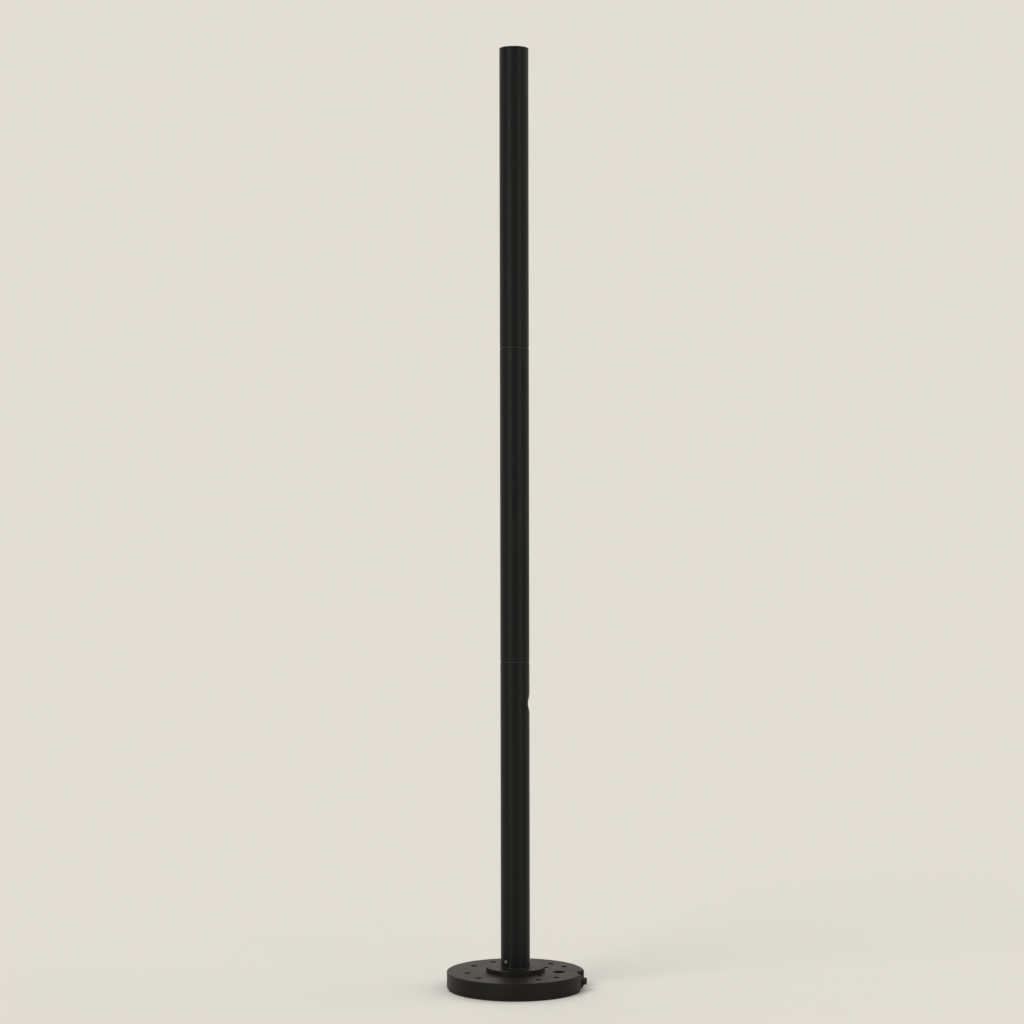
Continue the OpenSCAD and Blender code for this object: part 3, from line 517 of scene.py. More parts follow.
flange_low, flange_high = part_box("pole_flange")
flange_r = flange_high.y
lower_seat = flange_high.z - SPIGOT_RISE
flange = turned("pole_flange_steel", [
    (CENTRE_HOLE_R, flange_low.z), (flange_r, flange_low.z),
    *rounded_corner(flange_r, lower_seat, FLANGE_ROUNDING), *spigot_outline(lower_seat),
    (SPIGOT_BORE_R, lower_seat), (CENTRE_HOLE_R, lower_seat)
], bored=True, sides=BASE_SIDES // 2)
countersink = turned("countersink", [
    (COUNTERSINK_SHANK_R, flange_low.z - CUTTER_PAST),
    (COUNTERSINK_SHANK_R, lower_seat - (COUNTERSINK_R - COUNTERSINK_SHANK_R)),
    (COUNTERSINK_R, lower_seat), (COUNTERSINK_R, lower_seat + CUTTER_PAST)
], sides=HOLE_SIDES)
countersinks = [copied(countersink, "countersink_hole", place) for place in flange_screw_places]
bpy.data.objects.remove(countersink)
cut(flange, stop_groove_tool(lower_seat, TOOTH_DIRECTIONS["lower"]), *countersinks)
finished(flange, coated_steel, "base", "powder_coated_steel", "pole_flange")

# Flange screws
# Four countersunk socket screws of black oxide steel that hold the flange down on the plate.
# They are forged, oiled and blackened, so they are darker and shinier than the coating.
SCREW_HEAD_R = 5.7 * MM
SCREW_SHANK_R = 3 * MM
SCREW_LENGTH = 20 * MM
SCREW_NECK = 2 * MM
SCREW_RIM = 0.3 * MM
SCREW_SOCKET_W = 4 * MM
SCREW_SOCKET_DEPTH = 2.5 * MM
SCREW_ROUNDING = 0.12 * MM
THREAD_PITCH = 1 * MM
THREAD_DEPTH = 0.35 * MM


def thread_outline(radius, low_z, high_z, pitch, depth):
    """Outline of a threaded shank from its narrow lower end up, drawn as rings at the thread's pitch."""
    points = [(radius - 2 * depth, low_z), (radius - depth, low_z + pitch / 2)]
    turns = int((high_z - low_z) / pitch) - 1
    for turn in range(turns):
        crest_z = low_z + pitch * 3 / 4 + turn * pitch
        points += [(radius, crest_z), (radius - depth, crest_z + pitch / 2)]
    return points + [(radius, high_z)]


def hex_tool(across, low_z, high_z):
    """Tool for a hexagon socket, which is also the start of a nut or a collar."""
    bpy.ops.object.select_all(action="DESELECT")
    bpy.ops.mesh.primitive_cylinder_add(vertices=6, radius=across / 2 / math.cos(math.radians(30)),
                                        depth=high_z - low_z, location=(0, 0, (high_z + low_z) / 2))
    tool = started("hex_tool")
    bpy.ops.object.mode_set(mode="OBJECT")
    return tool


def bare_metal(name, colour, smudge, roughness, mark_length, metallic=1.0):
    """Metal with no paint on it: bright, blackened or anodised, with fine tool marks and smudges."""
    material, tree, place = new_material(name)
    marks = add(tree, "TexNoise", {"Vector": place, "Scale": 1 / mark_length, "Detail": 5})
    smear = add(tree, "TexNoise", {"Vector": place, "Scale": 1 / (12 * mark_length), "Detail": 2})
    tint = add(tree, "Mix", {0: smear.outputs[0], 6: linear(colour), 7: linear(smudge)}, data_type="RGBA")
    gloss = add(tree, "MapRange", {"Value": marks.outputs[0], "From Min": 0.3, "From Max": 0.7,
                                   "To Min": roughness - 0.07, "To Max": roughness + 0.07})
    relief = add(tree, "Bump", {"Strength": 0.25, "Distance": 0.02 * MM, "Height": marks.outputs[0]})
    shader = add(tree, "BsdfPrincipled", {"Base Color": tint.outputs[2], "Metallic": metallic,
                                          "Roughness": gloss.outputs[0], "Normal": relief.outputs[0]})
    add(tree, "OutputMaterial", {"Surface": shader.outputs[0]})
    return material


screw_top = lower_seat
screw_cone_z = screw_top - SCREW_RIM - (SCREW_HEAD_R - SCREW_SHANK_R)
screw_rim_r = SCREW_HEAD_R - SCREW_ROUNDING
flange_screw = turned("flange_screw", [
    *thread_outline(SCREW_SHANK_R, screw_top - SCREW_LENGTH, screw_cone_z - SCREW_NECK,
                    THREAD_PITCH, THREAD_DEPTH),
    (SCREW_SHANK_R, screw_cone_z), (screw_rim_r, screw_top - SCREW_RIM),
    (screw_rim_r, screw_top - SCREW_ROUNDING), (screw_rim_r - 2 * SCREW_ROUNDING, screw_top)
], sides=HOLE_SIDES)
cut(flange_screw, hex_tool(SCREW_SOCKET_W, screw_top - SCREW_SOCKET_DEPTH, screw_top + CUTTER_PAST))
black_oxide = bare_metal("black_oxide_steel", "#26262a", "#323236", 0.38, 0.6 * MM)
for number, place in enumerate(flange_screw_places, 1):
    screw = copied(flange_screw, f"flange_screw_{number}", place)
    finished(screw, black_oxide, "base", "black_steel", "flange_screws")
bpy.data.objects.remove(flange_screw)

# Cable gland
# A black anodised gland screwed into the rim's cut-out: a threaded body with a hexagon collar, a
# rubber seal, and a grooved dome nut that squeezes the seal round the supply cable.
FIT = 0.05 * MM
GLAND_BORE_R = 4 * MM
GLAND_THREAD_R = 6 * MM
GLAND_THREAD_PITCH = 1.5 * MM
GLAND_THREAD_DEPTH = 0.4 * MM
GLAND_NECK_R = 5.4 * MM
GLAND_NECK_L = 1 * MM
GLAND_NECK_EDGE = 0.1 * MM
SEAL_BORE_R = 3.7 * MM
SEAL_MOUTH = 0.2 * MM
SEAL_MOUTH_DEPTH = 0.4 * MM
HEX_ROUNDING = 0.35 * MM
COLLAR_W = 14 * MM
COLLAR_L = 4 * MM
NUT_W = 12 * MM
NUT_L = 11 * MM
NUT_HEX_L = 5 * MM
NUT_WALL = 1.3 * MM
NUT_LIP = 1.5 * MM
NUT_BORE_R = 3.9 * MM
NUT_BORE_CHAMFER = 0.4 * MM
NUT_NECK_DEPTH = 0.5 * MM
NUT_NECK_L = 0.4 * MM
DOME_R = 5.7 * MM
DOME_ROOT = 1 * MM
DOME_FOOT_BEVEL = 0.3 * MM
DOME_SHOULDER_L = 1.6 * MM
DOME_FACE_R = 5.2 * MM
DOME_GRIPS = 24
GRIP_MARGIN = 0.08 * MM
GRIP_DEPTH = 0.25 * MM
# Largest lengthwise part of the normal of a face that stands upright
UPRIGHT = 0.1
gland_place = Matrix.Translation((gland_face, 0, gland_z)) @ along_x


def hexagon(name, across, low_z, high_z):
    """A hexagon with rounded edges, as on a nut or a collar."""
    piece = hex_tool(across, low_z, high_z)
    piece.name = name
    round_edges(piece, HEX_ROUNDING, segments=3)
    return piece


def joined(piece, other):
    """Welds another piece onto a piece."""
    weld = piece.modifiers.new("weld", "BOOLEAN")
    weld.operation = "UNION"
    weld.solver = "EXACT"
    weld.object = other
    activate(piece)
    bpy.ops.object.modifier_apply(modifier=weld.name)
    bpy.data.objects.remove(other)


def is_grip(face):
    """Whether a face is one of every second upright face round the dome."""
    turn = math.degrees(math.atan2(face.normal.y, face.normal.x))
    upright = abs(face.normal.z) < UPRIGHT and grip_low < face.calc_center_median().z < grip_high
    return upright and round(turn * DOME_GRIPS / 180 - 0.5) % 2 == 0


gland_body = turned("gland_body_anodised", [
    *thread_outline(GLAND_THREAD_R, -CHANNEL_WALL, -GLAND_NECK_L, GLAND_THREAD_PITCH, GLAND_THREAD_DEPTH),
    (GLAND_NECK_R, GLAND_NECK_EDGE - GLAND_NECK_L), (GLAND_NECK_R, GLAND_NECK_L)
], sides=HOLE_SIDES)
joined(gland_body, hexagon("gland_collar", COLLAR_W, 0, COLLAR_L))
gland_bore = turned("gland_bore", [
    (GLAND_BORE_R, -CHANNEL_WALL - CUTTER_PAST), (GLAND_BORE_R, COLLAR_L + CUTTER_PAST)
], sides=HOLE_SIDES)
cut(gland_body, gland_bore)
gland_body.data.transform(gland_place)
anodised_black = bare_metal("black_anodised_aluminium", "#1f1f21", "#29292c", 0.42, 0.8 * MM, metallic=0.75)
finished(gland_body, anodised_black, "base", "anodised_black", "gland_body")

hex_end = COLLAR_L + NUT_HEX_L
dome_end = COLLAR_L + NUT_L
seal_end = dome_end - NUT_LIP
nut_inside_r = NUT_W / 2 - NUT_WALL
gland_seal = turned("gland_seal_rubber", [
    (SEAL_BORE_R + SEAL_MOUTH, COLLAR_L), (nut_inside_r - FIT, COLLAR_L),
    (nut_inside_r - FIT, seal_end), (SEAL_BORE_R + SEAL_MOUTH, seal_end),
    (SEAL_BORE_R, seal_end - SEAL_MOUTH_DEPTH), (SEAL_BORE_R, COLLAR_L + SEAL_MOUTH_DEPTH)
], bored=True, sides=HOLE_SIDES)
gland_seal.data.transform(gland_place)
finished(gland_seal, black_rubber, "base", "black_rubber", "gland_seal")

gland_nut = hexagon("gland_nut_anodised", NUT_W, COLLAR_L, hex_end)
grip_low = hex_end + NUT_NECK_L + DOME_FOOT_BEVEL
grip_high = dome_end - DOME_SHOULDER_L
dome = turned("gland_dome", [
    (DOME_R - NUT_NECK_DEPTH, hex_end - DOME_ROOT), (DOME_R - NUT_NECK_DEPTH, hex_end + NUT_NECK_L),
    (DOME_R, grip_low), (DOME_R, grip_high), (DOME_FACE_R, dome_end)
], sides=2 * DOME_GRIPS)
bpy.ops.object.mode_set(mode="EDIT")
choose(is_grip)
bpy.ops.mesh.inset(thickness=GRIP_MARGIN, use_individual=True)
bpy.ops.transform.shrink_fatten(value=-GRIP_DEPTH)
bpy.ops.object.mode_set(mode="OBJECT")
joined(gland_nut, dome)
nut_inside = turned("nut_inside", [
    (nut_inside_r, COLLAR_L - CUTTER_PAST), (nut_inside_r, seal_end)
], sides=HOLE_SIDES)
cut(gland_nut, nut_inside, hole_tool("nut_bore", NUT_BORE_R, COLLAR_L, dome_end, NUT_BORE_CHAMFER))
gland_nut.data.transform(gland_place)
finished(gland_nut, anodised_black, "base", "anodised_black", "gland_nut")

# Pole sections
# Three drawn aluminium tubes, each cut across by its light notch, drilled for its swivel screws
# and powder coated in satin black after cutting, so the coating also covers the cut edges.
TUBE_SIDES = 240
TUBE_CHAMFER = 0.4 * MM
TUBE_RINGS = 18
SCREW_STRETCH = 12 * MM
NOTCH_STRETCH = 36 * MM
NOTCH_DEPTH = 19.7 * MM
NOTCH_SLOPE = math.radians(33)
NOTCH_NOSE_R = 10 * MM
NOSE_SEGMENTS = 14
NOTCH_EDGE = 0.25 * MM
NOTCH_EDGE_ANGLE = 40
SCREW_SIDES = 32
SCREW_HOLE_R = 2.55 * MM
# Directions of the friction screws, in degrees from the light of their section
FRICTION_SCREWS_AT = {"lower": (54, 174, 294), "middle": (60, 300), "top": (60, 300)}
notch_z = {opening["name"].split("_")[0]: (opening["box_m"][0][2] + opening["box_m"][1][2]) / 2
           for opening in frame["record"]["physics"]["openings"]}
seat_z = {joint["child"].split("_")[0]: joint["pos_m"][2] for joint in frame["joints"]}
aim = {section: math.radians(direction) for section, direction in LIGHT_DIRECTIONS.items()}
nose_x = pole_r - NOTCH_DEPTH + NOTCH_NOSE_R


def at_head(section):
    """Place of a lamp head: the middle of its notch, with X along its light."""
    return Matrix.Translation((0, 0, notch_z[section])) @ Matrix.Rotation(aim[section], 4, "Z")


def radial(height, direction):
    """Place of a piece that points outwards from the pole's axis."""
    return Matrix.Translation((0, 0, height)) @ Matrix.Rotation(direction, 4, "Z") @ along_x


def friction_screw_places(section):
    """Places of the friction screws in the foot of a section."""
    return [radial(seat_z[section] + FRICTION_Z, aim[section] + math.radians(at))
            for at in FRICTION_SCREWS_AT[section]]


def stop_screw_place(section):
    """Place of the stop screw, under the light of its section."""
    return radial(seat_z[section] + STOP_Z, aim[section])


def notch_tool():
    """Tool that cuts a light notch, along X: a wedge across the pole with a rounded nose."""
    edge_x = nose_x - NOTCH_NOSE_R / math.cos(NOTCH_SLOPE)
    past = pole_r + CUTTER_PAST
    half_h = (past - edge_x) / math.tan(NOTCH_SLOPE)
    tool = block("notch_tool", (edge_x, -past, -half_h), (past, past, half_h))
    bpy.ops.object.mode_set(mode="EDIT")
    choose(lambda v: v.co.x < edge_x + NEAR, "VERT")
    bpy.ops.transform.resize(value=(1, 1, 0), center_override=(0, 0, 0))
    bpy.ops.mesh.remove_doubles(threshold=WELD_DISTANCE)
    choose(lambda e: all(v.co.x < edge_x + NEAR for v in e.verts), "EDGE")
    bpy.ops.mesh.bevel(offset=NOTCH_NOSE_R * math.tan(NOTCH_SLOPE), segments=NOSE_SEGMENTS, affect="EDGES")
    bpy.ops.object.mode_set(mode="OBJECT")
    return tool


def add_rings(tube, middle, half_stretch):
    """Divides a stretch of a tube by close rings, so that its shine stays even round what is cut in it."""
    activate(tube)
    bpy.ops.object.mode_set(mode="EDIT")
    for k in range(TUBE_RINGS + 1):
        height = middle + half_stretch * (2 * k / TUBE_RINGS - 1)
        bpy.ops.mesh.select_all(action="SELECT")
        bpy.ops.mesh.bisect(plane_co=(0, 0, height), plane_no=(0, 0, 1))
    bpy.ops.object.mode_set(mode="OBJECT")


coated_aluminium = powder_coat("powder_coated_aluminium", "#0b0a09", "#13110f", 0.38, 0.7 * MM)
for section in LIGHT_DIRECTIONS:
    body = f"{section}_section"
    tube_low, tube_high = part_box(f"{section}_tube")
    low, high = tube_low.z, tube_high.z
    tube = turned(f"{section}_tube_coated", [
        (tube_r, low), (pole_r - TUBE_CHAMFER, low), (pole_r, low + TUBE_CHAMFER),
        (pole_r, high - TUBE_CHAMFER), (pole_r - TUBE_CHAMFER, high), (tube_r, high)
    ], bored=True, sides=TUBE_SIDES)
    notch = notch_tool()
    notch.data.transform(at_head(section))
    screw_drill = turned("screw_drill", [
        (SCREW_HOLE_R, 0), (SCREW_HOLE_R, pole_r + CUTTER_PAST)
    ], sides=SCREW_SIDES)
    screw_places = [*friction_screw_places(section), stop_screw_place(section)]
    holes = [copied(screw_drill, "screw_hole", place) for place in screw_places]
    bpy.data.objects.remove(screw_drill)
    cut(tube, notch, *holes)
    round_edges(tube, NOTCH_EDGE, sharper_than=NOTCH_EDGE_ANGLE)
    add_rings(tube, seat_z[section] + (FRICTION_Z + STOP_Z) / 2, SCREW_STRETCH)
    add_rings(tube, notch_z[section], NOTCH_STRETCH)
    finished(tube, coated_aluminium, body, "powder_coated_aluminium", f"{section}_tube")

# Swivel screws
# Socket set screws in the foot of each section. The bright stainless ones press on the spigot
# and hold the turn, and a black one under the light runs against the tooth.
SET_SCREW_SIDES = 40
SET_SCREW_R = 2.5 * MM
SET_SCREW_SUNK = 0.2 * MM
SET_SCREW_SOCKET_W = 2.5 * MM
SET_SCREW_SOCKET_DEPTH = 2 * MM
SET_SCREW_ROUNDING = 0.3 * MM
head_end = pole_r - SET_SCREW_SUNK
set_screw = turned("set_screw", [
    (SET_SCREW_NOSE_R - SET_SCREW_ROUNDING, nose_end_r),
    (SET_SCREW_NOSE_R, nose_end_r + SET_SCREW_ROUNDING), (SET_SCREW_NOSE_R, tube_r),
    (SET_SCREW_R, tube_r), (SET_SCREW_R, head_end - SET_SCREW_ROUNDING),
    (SET_SCREW_R - SET_SCREW_ROUNDING, head_end)
], sides=SET_SCREW_SIDES)
cut(set_screw, hex_tool(SET_SCREW_SOCKET_W, head_end - SET_SCREW_SOCKET_DEPTH, head_end + CUTTER_PAST))
stainless = bare_metal("stainless_steel", "#c4c4c0", "#aeaeaa", 0.26, 0.5 * MM)
for section in LIGHT_DIRECTIONS:
    body = f"{section}_section"
    for number, place in enumerate(friction_screw_places(section), 1):
        screw = copied(set_screw, f"{section}_friction_screw_{number}", place)
        finished(screw, stainless, body, "stainless", f"{section}_friction_screws")
    screw = copied(set_screw, f"{section}_stop_screw_black", stop_screw_place(section))
    finished(screw, black_oxide, body, "black_steel", f"{section}_stop_screw")
bpy.data.objects.remove(set_screw)

# Spigots and slip washers
# Turned aluminium spigots, bonded into the top of the lower and middle tubes, that carry the
# next section. Their shoulders and the nylon washers show as a thin dark line round the pole.
SPIGOT_ROOT = 12 * MM
SHOULDER_H = 1 * MM
SHOULDER_INSET = 0.5 * MM
WASHER_H = 0.5 * MM
WASHER_ROUNDING = 0.1 * MM
shoulder_r = pole_r - SHOULDER_INSET
plug_r = tube_r - FIT


def moulded_plastic(name, colour, shade, roughness):
    """Injection moulded plastic: an even colour with a fine spark-eroded grain from the mould."""
    material, tree, place = new_material(name)
    grain = add(tree, "TexVoronoi", {"Vector": place, "Scale": 1 / (0.9 * MM)})
    flow = add(tree, "TexNoise", {"Vector": place, "Scale": 1 / (20 * MM), "Detail": 2})
    tint = add(tree, "Mix", {0: flow.outputs[0], 6: linear(colour), 7: linear(shade)}, data_type="RGBA")
    relief = add(tree, "Bump", {"Strength": 0.3, "Distance": 0.03 * MM, "Height": grain.outputs[0]})
    shader = add(tree, "BsdfPrincipled", {"Base Color": tint.outputs[2], "Roughness": roughness, "IOR": 1.5,
                                          "Normal": relief.outputs[0]})
    add(tree, "OutputMaterial", {"Surface": shader.outputs[0]})
    return material


grey_nylon = moulded_plastic("glass_filled_nylon", "#363534", "#403f3d", 0.55)
for section, carrier in (("middle", "lower_section"), ("top", "middle_section")):
    seat = seat_z[section]
    shoulder = seat - SHOULDER_H
    foot = shoulder - SPIGOT_ROOT
    spigot = turned(f"{section}_spigot_turned", [
        (SPIGOT_BORE_R, foot), (tube_r - SPIGOT_CHAMFER, foot), (plug_r, foot + SPIGOT_CHAMFER),
        (plug_r, shoulder), (shoulder_r, shoulder), (shoulder_r, seat), *spigot_outline(seat)
    ], bored=True)
    cut(spigot, stop_groove_tool(seat, TOOTH_DIRECTIONS[section]))
    finished(spigot, coated_aluminium, carrier, "powder_coated_aluminium", f"{section}_spigot")
for section, carrier in (("lower", "base"), ("middle", "lower_section"), ("top", "middle_section")):
    seat = seat_z[section]
    washer = turned(f"{section}_slip_washer_nylon", [
        (tube_r + FIT, seat), (shoulder_r, seat),
        (shoulder_r, seat + WASHER_H), (tube_r + FIT, seat + WASHER_H)
    ], bored=True)
    round_edges(washer, WASHER_ROUNDING)
    finished(washer, grey_nylon, carrier, "grey_nylon", f"{section}_slip_washer")

# Top cap
# A turned aluminium plug with a thin rim, pressed into the top tube over an O-ring and coated
# like the pole. Its edge is rounded, so rain runs off.
CAP_H = 3 * MM
CAP_PLUG_H = 7 * MM
CAP_PLUG_CHAMFER_H = 0.6 * MM
CAP_SEAM_CHAMFER = 0.2 * MM
CAP_ROUNDING = 0.8 * MM
CAP_ROUNDING_STEPS = 4
CAP_CROWN = 0.15 * MM
# Rings of the crown, as shares of the pole's radius and of the crown's height
CROWN_RINGS = [(0.5, 0.7), (0.1, 1)]
top_z = cad_high.z
cap_seam = top_z - CAP_H
cap_foot = cap_seam - CAP_PLUG_H
groove_w, groove_depth = SEAL_GROOVE
groove_low = cap_seam - CAP_PLUG_H / 2 - groove_w / 2
groove_high = groove_low + groove_w
rim_angles = [math.radians(90 / CAP_ROUNDING_STEPS * k) for k in range(CAP_ROUNDING_STEPS + 1)]
cap = turned("top_cap_coated", [
    (plug_r - SPIGOT_CHAMFER, cap_foot), (plug_r, cap_foot + CAP_PLUG_CHAMFER_H),
    (plug_r, groove_low), (plug_r - groove_depth, groove_low),
    (plug_r - groove_depth, groove_high), (plug_r, groove_high),
    (plug_r, cap_seam), (pole_r - CAP_SEAM_CHAMFER, cap_seam), (pole_r, cap_seam + CAP_SEAM_CHAMFER),
    *[(pole_r - CAP_ROUNDING * (1 - math.cos(angle)),
       top_z - CAP_CROWN - CAP_ROUNDING * (1 - math.sin(angle))) for angle in rim_angles],
    *[(pole_r * wide, top_z - CAP_CROWN * (1 - high)) for wide, high in CROWN_RINGS]
])
finished(cap, coated_aluminium, "top_section", "powder_coated_aluminium", "top_cap")

# Lamp heads
# In each notch sits a cast aluminium housing that lines its two faces and carries the lamp on
# the upper one: ring, glass lens, gasket, reflector, and the LED on its board, tilted downwards.
RING_R = 13 * MM
RING_MARGIN = 0.2 * MM
RING_PROUD = 0.6 * MM
RING_DEPTH = 4.1 * MM
RING_ROUNDING = 0.3 * MM
RING_LIP_R = 10 * MM
RING_LIP_BEVEL = 0.1 * MM
RING_FLARE = 1.2 * MM
LIP_H = 1 * MM
LENS_R = 11.2 * MM
LENS_H = 2.9 * MM
LENS_BEVEL = 0.2 * MM
LENS_BULGE = 1 * MM
LENS_BULGE_GAP = 0.3 * MM
LENS_BULGE_STEPS = 8
LENS_RINGS = 9
LENS_RINGS_R = 9 * MM
LENS_RING_DEPTH = 0.12 * MM
GASKET_H = 1 * MM
GASKET_R = 9 * MM
GASKET_INSET = 0.2 * MM
BORE_R = 9.3 * MM
REFLECTOR_H = 7.1 * MM
REFLECTOR_WALL = 0.8 * MM
REFLECTOR_HOLE_R = 3.2 * MM
REFLECTOR_STEPS = 16
BOARD_H = 1.6 * MM
BOARD_GAP = 0.1 * MM
BOARD_ROUNDING = 0.15 * MM
LED_R = 2.6 * MM
LED_FLATNESS = 0.5
CABLE_R = 2.75 * MM
CABLE_GAP = 0.3 * MM
WIRE_R = 1.2 * MM
WIRE_HOLE_SIDES = 24
HOUSING_EDGE = 0.2 * MM
HOUSING_SCREW_R = 2.1 * MM
HOUSING_SCREW_L = 10 * MM
HOUSING_SCREW_Y = 9 * MM
HOUSING_SCREW_PITCH = 0.7 * MM
HOUSING_SCREW_THREAD_DEPTH = 0.22 * MM
HOUSING_SCREW_BEVEL = 0.3 * MM
HOUSING_SCREW_BEVEL_L = 0.5 * MM
HOUSING_SOCKET_W = 2 * MM
HOUSING_SOCKET_DEPTH = 2.5 * MM
recess_depth = RING_DEPTH + GASKET_H + 2 * FIT
board_front = recess_depth + REFLECTOR_H + 2 * FIT
board_back = board_front + BOARD_H
tangent_x = nose_x - NOTCH_NOSE_R * math.cos(NOTCH_SLOPE)
tangent_z = NOTCH_NOSE_R * math.sin(NOTCH_SLOPE)
lens_z = tangent_z + (RING_R + RING_MARGIN) * math.cos(NOTCH_SLOPE)
lens_x = tangent_x + (lens_z - tangent_z) * math.tan(NOTCH_SLOPE)
on_beam = Matrix.Translation((lens_x, 0, lens_z)) @ Matrix.Rotation(math.radians(90) + NOTCH_SLOPE, 4, "Y")


def glass(name):
    """Clear moulded optical glass with fine rings: bright, smooth, very slightly warm in its depth."""
    material, tree, place = new_material(name)
    ripple = add(tree, "TexNoise", {"Vector": place, "Scale": 1 / (3 * MM), "Detail": 2})
    gloss = add(tree, "MapRange", {"Value": ripple.outputs[0], "To Min": 0.03, "To Max": 0.12})
    shader = add(tree, "BsdfPrincipled", {"Base Color": linear("#fff4e2"), "Roughness": gloss.outputs[0],
                                          "IOR": 1.5, "Transmission Weight": 1.0})
    add(tree, "OutputMaterial", {"Surface": shader.outputs[0]})
    return material


def glowing_phosphor(name):
    """The LED's phosphor under its clear dome: egg yellow with a fine grit, and lit warm white."""
    material, tree, place = new_material(name)
    grit = add(tree, "TexNoise", {"Vector": place, "Scale": 1 / (0.4 * MM), "Detail": 3})
    tint = add(tree, "Mix", {0: grit.outputs[0], 6: linear("#f2c23a"), 7: linear("#ffe08a")},
               data_type="RGBA")
    shader = add(tree, "BsdfPrincipled", {"Base Color": tint.outputs[2], "Roughness": 0.35,
                                          "Emission Color": linear("#ffd296"), "Emission Strength": 15.0})
    add(tree, "OutputMaterial", {"Surface": shader.outputs[0]})
    return material


def beam_piece(name, outline, bored=False, sides=SIDES):
    """A turned piece of the lamp, put on the beam's axis in the frame of its head."""
    piece = turned(name, outline, bored, sides)
    piece.data.transform(on_beam)
    return piece


housing_low, housing_high = (corner.z - notch_z["lower"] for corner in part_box("lower_lamp_housing"))
screw_z = (tangent_z - housing_low) / 2
groove_half_w = CABLE_R + CABLE_GAP
groove_x = SPIGOT_BORE_R - CABLE_R - CABLE_GAP
wire_z = lens_z + board_back * math.sin(NOTCH_SLOPE) - WIRE_R
housing = turned("lamp_housing", [(tube_r - FIT, housing_low), (tube_r - FIT, housing_high)])
ring_recess = beam_piece("ring_recess", [(RING_R, -recess_depth), (RING_R, RING_R)])
led_bore = beam_piece("led_bore", [(BORE_R, -board_back - BOARD_GAP), (BORE_R, 0)])
cable_groove = block("cable_groove", (-pole_r - MM, -groove_half_w, housing_low - CUTTER_PAST),
                     (groove_half_w - groove_x, groove_half_w, housing_high + CUTTER_PAST))
wire_hole_r = WIRE_R + CABLE_GAP
wire_hole = turned("wire_hole", [(wire_hole_r, -groove_x), (wire_hole_r, 0)], sides=WIRE_HOLE_SIDES)
wire_hole.data.transform(Matrix.Translation((0, 0, wire_z)) @ along_x)
drill_r = HOUSING_SCREW_R + FIT
housing_drills = []
for side in (-1, 1):
    drill = turned("housing_drill", [(drill_r, -pole_r), (drill_r, pole_r)], sides=SCREW_SIDES)
    drill.data.transform(Matrix.Translation((0, side * HOUSING_SCREW_Y, -screw_z)) @ along_x)
    housing_drills.append(drill)
cut(housing, notch_tool(), ring_recess, led_bore, cable_groove, wire_hole, *housing_drills)
round_edges(housing, HOUSING_EDGE, sharper_than=NOTCH_EDGE_ANGLE)

ring_outer = RING_R - FIT
lens_ring = beam_piece("lens_ring", [
    (RING_LIP_R, -LIP_H), (RING_LIP_R, -RING_LIP_BEVEL), (RING_LIP_R + RING_LIP_BEVEL, 0),
    (RING_LIP_R + RING_FLARE, RING_PROUD), *reversed(rounded_corner(ring_outer, RING_PROUD, RING_ROUNDING)),
    (ring_outer, -RING_DEPTH), (LENS_R + FIT, -RING_DEPTH), (LENS_R + FIT, -LIP_H)
], bored=True)

lens_front = -LIP_H - FIT
lens_back = lens_front - LENS_H
bulge_r = GASKET_R - LENS_BULGE_GAP
ring_step = LENS_RINGS_R / LENS_RINGS
bulge_shares = [k / LENS_BULGE_STEPS for k in range(1, LENS_BULGE_STEPS + 1)]
lens_outline = [(bulge_r * share, lens_back - LENS_BULGE * (1 - share ** 2)) for share in bulge_shares]
lens_outline += [(LENS_R, lens_back), (LENS_R, lens_front - LENS_BEVEL), (LENS_R - LENS_BEVEL, lens_front)]
for k in range(LENS_RINGS, 0, -1):
    lens_outline += [(k * ring_step, lens_front), ((k - 0.5) * ring_step, lens_front - LENS_RING_DEPTH)]
lens = beam_piece("lens", lens_outline)

gasket_front = -RING_DEPTH - FIT
gasket_back = gasket_front - GASKET_H
gasket_outer = RING_R - GASKET_INSET
gasket = beam_piece("lens_gasket", [
    (GASKET_R, gasket_back), (gasket_outer, gasket_back),
    (gasket_outer, gasket_front), (GASKET_R, gasket_front)
], bored=True)

reflector_back = -board_front + FIT
reflector_rim = BORE_R - FIT - REFLECTOR_WALL


def bowl(wall, steps):
    """Outline of the parabolic reflector from its hole to its rim, at a wall's thickness outside."""
    shares = [k / steps for k in range(steps + 1)]
    return [(REFLECTOR_HOLE_R + (reflector_rim - REFLECTOR_HOLE_R) * math.sqrt(share) + wall,
             reflector_back + REFLECTOR_H * share) for share in shares]


reflector = beam_piece("reflector", [
    *bowl(0, REFLECTOR_STEPS), *reversed(bowl(REFLECTOR_WALL, REFLECTOR_STEPS // 2))
], bored=True)

led_board = beam_piece("led_board", [(BORE_R - FIT, -board_back), (BORE_R - FIT, -board_front)])
round_edges(led_board, BOARD_ROUNDING)

led_angles = [math.radians(degrees) for degrees in (0, 15, 30, 45, 60, 75, 86)]
led = beam_piece("led", [
    (LED_R * math.cos(angle), -board_front + LED_R * LED_FLATNESS * math.sin(angle)) for angle in led_angles
], sides=HOLE_SIDES)

reach = math.sqrt((tube_r - FIT) ** 2 - (HOUSING_SCREW_Y + HOUSING_SCREW_R) ** 2)
housing_screw = turned("housing_screw", [
    *thread_outline(HOUSING_SCREW_R, 0, HOUSING_SCREW_L - HOUSING_SCREW_BEVEL_L,
                    HOUSING_SCREW_PITCH, HOUSING_SCREW_THREAD_DEPTH),
    (HOUSING_SCREW_R - HOUSING_SCREW_BEVEL, HOUSING_SCREW_L)
], sides=SCREW_SIDES)
cut(housing_screw, hex_tool(HOUSING_SOCKET_W, HOUSING_SCREW_L - HOUSING_SOCKET_DEPTH,
                            HOUSING_SCREW_L + CUTTER_PAST))

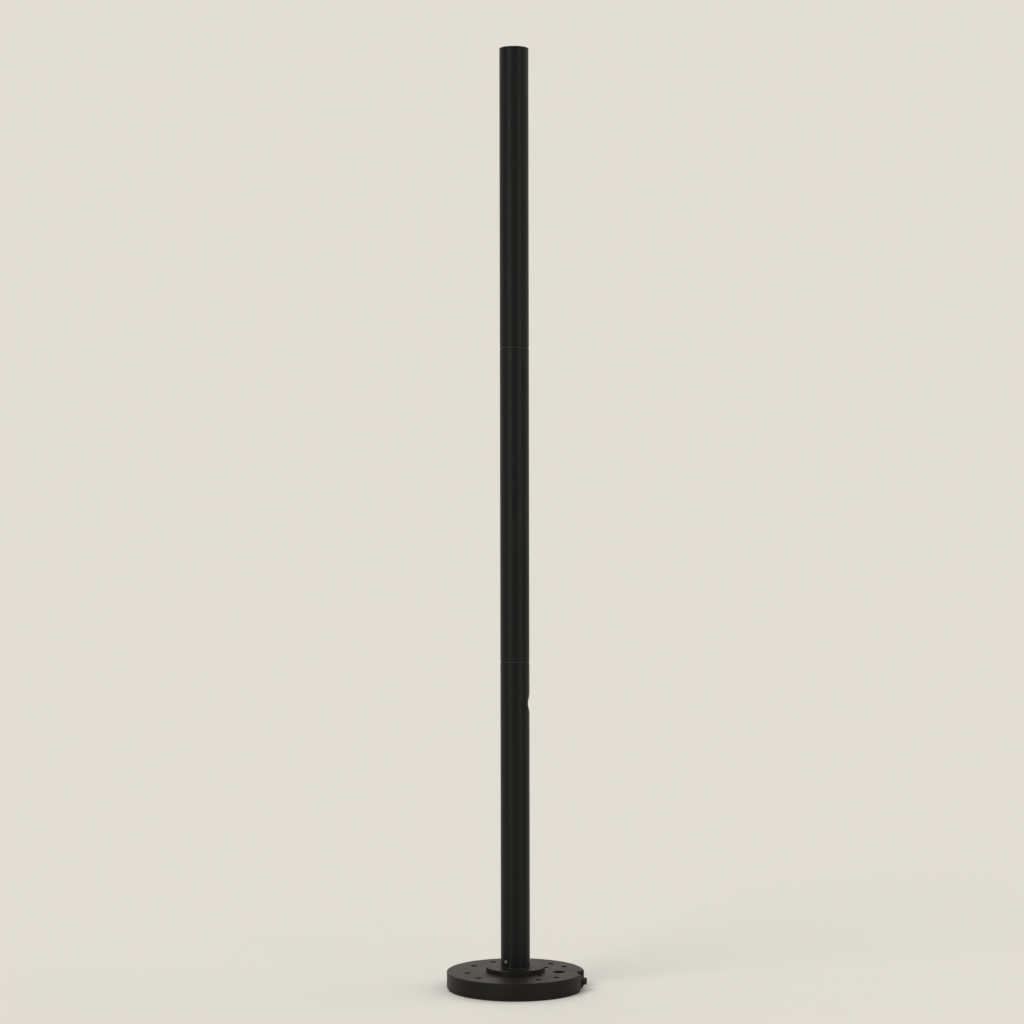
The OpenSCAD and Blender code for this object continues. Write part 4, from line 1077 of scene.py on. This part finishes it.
cast_aluminium = powder_coat("powder_coated_casting", "#0d0c0b", "#151311", 0.48, 1.1 * MM)
lens_glass = glass("optical_glass")
spun_aluminium = bare_metal("bright_spun_aluminium", "#e6e6e4", "#d8d8d5", 0.12, 1.2 * MM)
board_lacquer = moulded_plastic("white_solder_lacquer", "#e4e6e0", "#dadcd5", 0.4)
phosphor = glowing_phosphor("lit_phosphor")
head_pieces = [
    (housing, "lamp_housing", cast_aluminium, "powder_coated_aluminium"),
    (lens_ring, "lens_ring", anodised_black, "anodised_black"),
    (lens, "lens", lens_glass, "lens_glass"),
    (gasket, "lens_gasket", black_rubber, "black_rubber"),
    (reflector, "reflector", spun_aluminium, "bright_aluminium"),
    (led_board, "led_board", board_lacquer, "board_white"),
    (led, "led", phosphor, "led_phosphor")
]
for section in LIGHT_DIRECTIONS:
    body = f"{section}_section"
    for model, node, material, slot in head_pieces:
        piece = copied(model, f"{section}_{node}_made", at_head(section))
        finished(piece, material, body, slot, f"{section}_{node}")
    for number, side in enumerate((-1, 1), 1):
        in_head = Matrix.Translation((-reach, side * HOUSING_SCREW_Y, -screw_z)) @ along_x
        screw = copied(housing_screw, f"{section}_housing_screw_{number}", at_head(section) @ in_head)
        finished(screw, stainless, body, "stainless", f"{section}_housing_screws")
for model in [housing_screw, *(row[0] for row in head_pieces)]:
    bpy.data.objects.remove(model)

# Driver, wiring and hidden fittings
# The solids inside the pole and under the plate keep their shape: a potted driver in an
# aluminium case, its nylon cradle, rubber sheathed cable, the terminal block and the cover.
driver_case = bare_metal("extruded_aluminium_case", "#8e9092", "#a2a4a6", 0.4, 1.5 * MM)
cover_steel = bare_metal("galvanised_sheet_steel", "#a6a8a6", "#8f918f", 0.42, 6 * MM)
cable_sheath = rubber("cable_sheath_rubber", "#191919", "#212121", 0.65, 0.6 * MM)
hidden_fittings = [
    (cover_steel, ["base_cover_plate"]),
    (stainless, ["cover_plate_screws"]),
    (driver_case, ["driver"]),
    (grey_nylon, ["driver_carrier", "terminal_block"]),
    (cable_sheath, ["base_lead", "driver_lead", "lower_feed_cable", "middle_feed_cable", "top_feed_cable"]),
    (black_rubber, ["lower_swivel_seal", "middle_swivel_seal", "top_swivel_seal", "top_cap_seal"])
]
for material, nodes in hidden_fittings:
    for node in nodes:
        fitting = frame["nodes"][node]
        if not fitting.material_slots:
            fitting.data.materials.append(material)
        for slot in fitting.material_slots:
            slot.material = material

bpy.context.view_layer.update()
low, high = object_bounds()
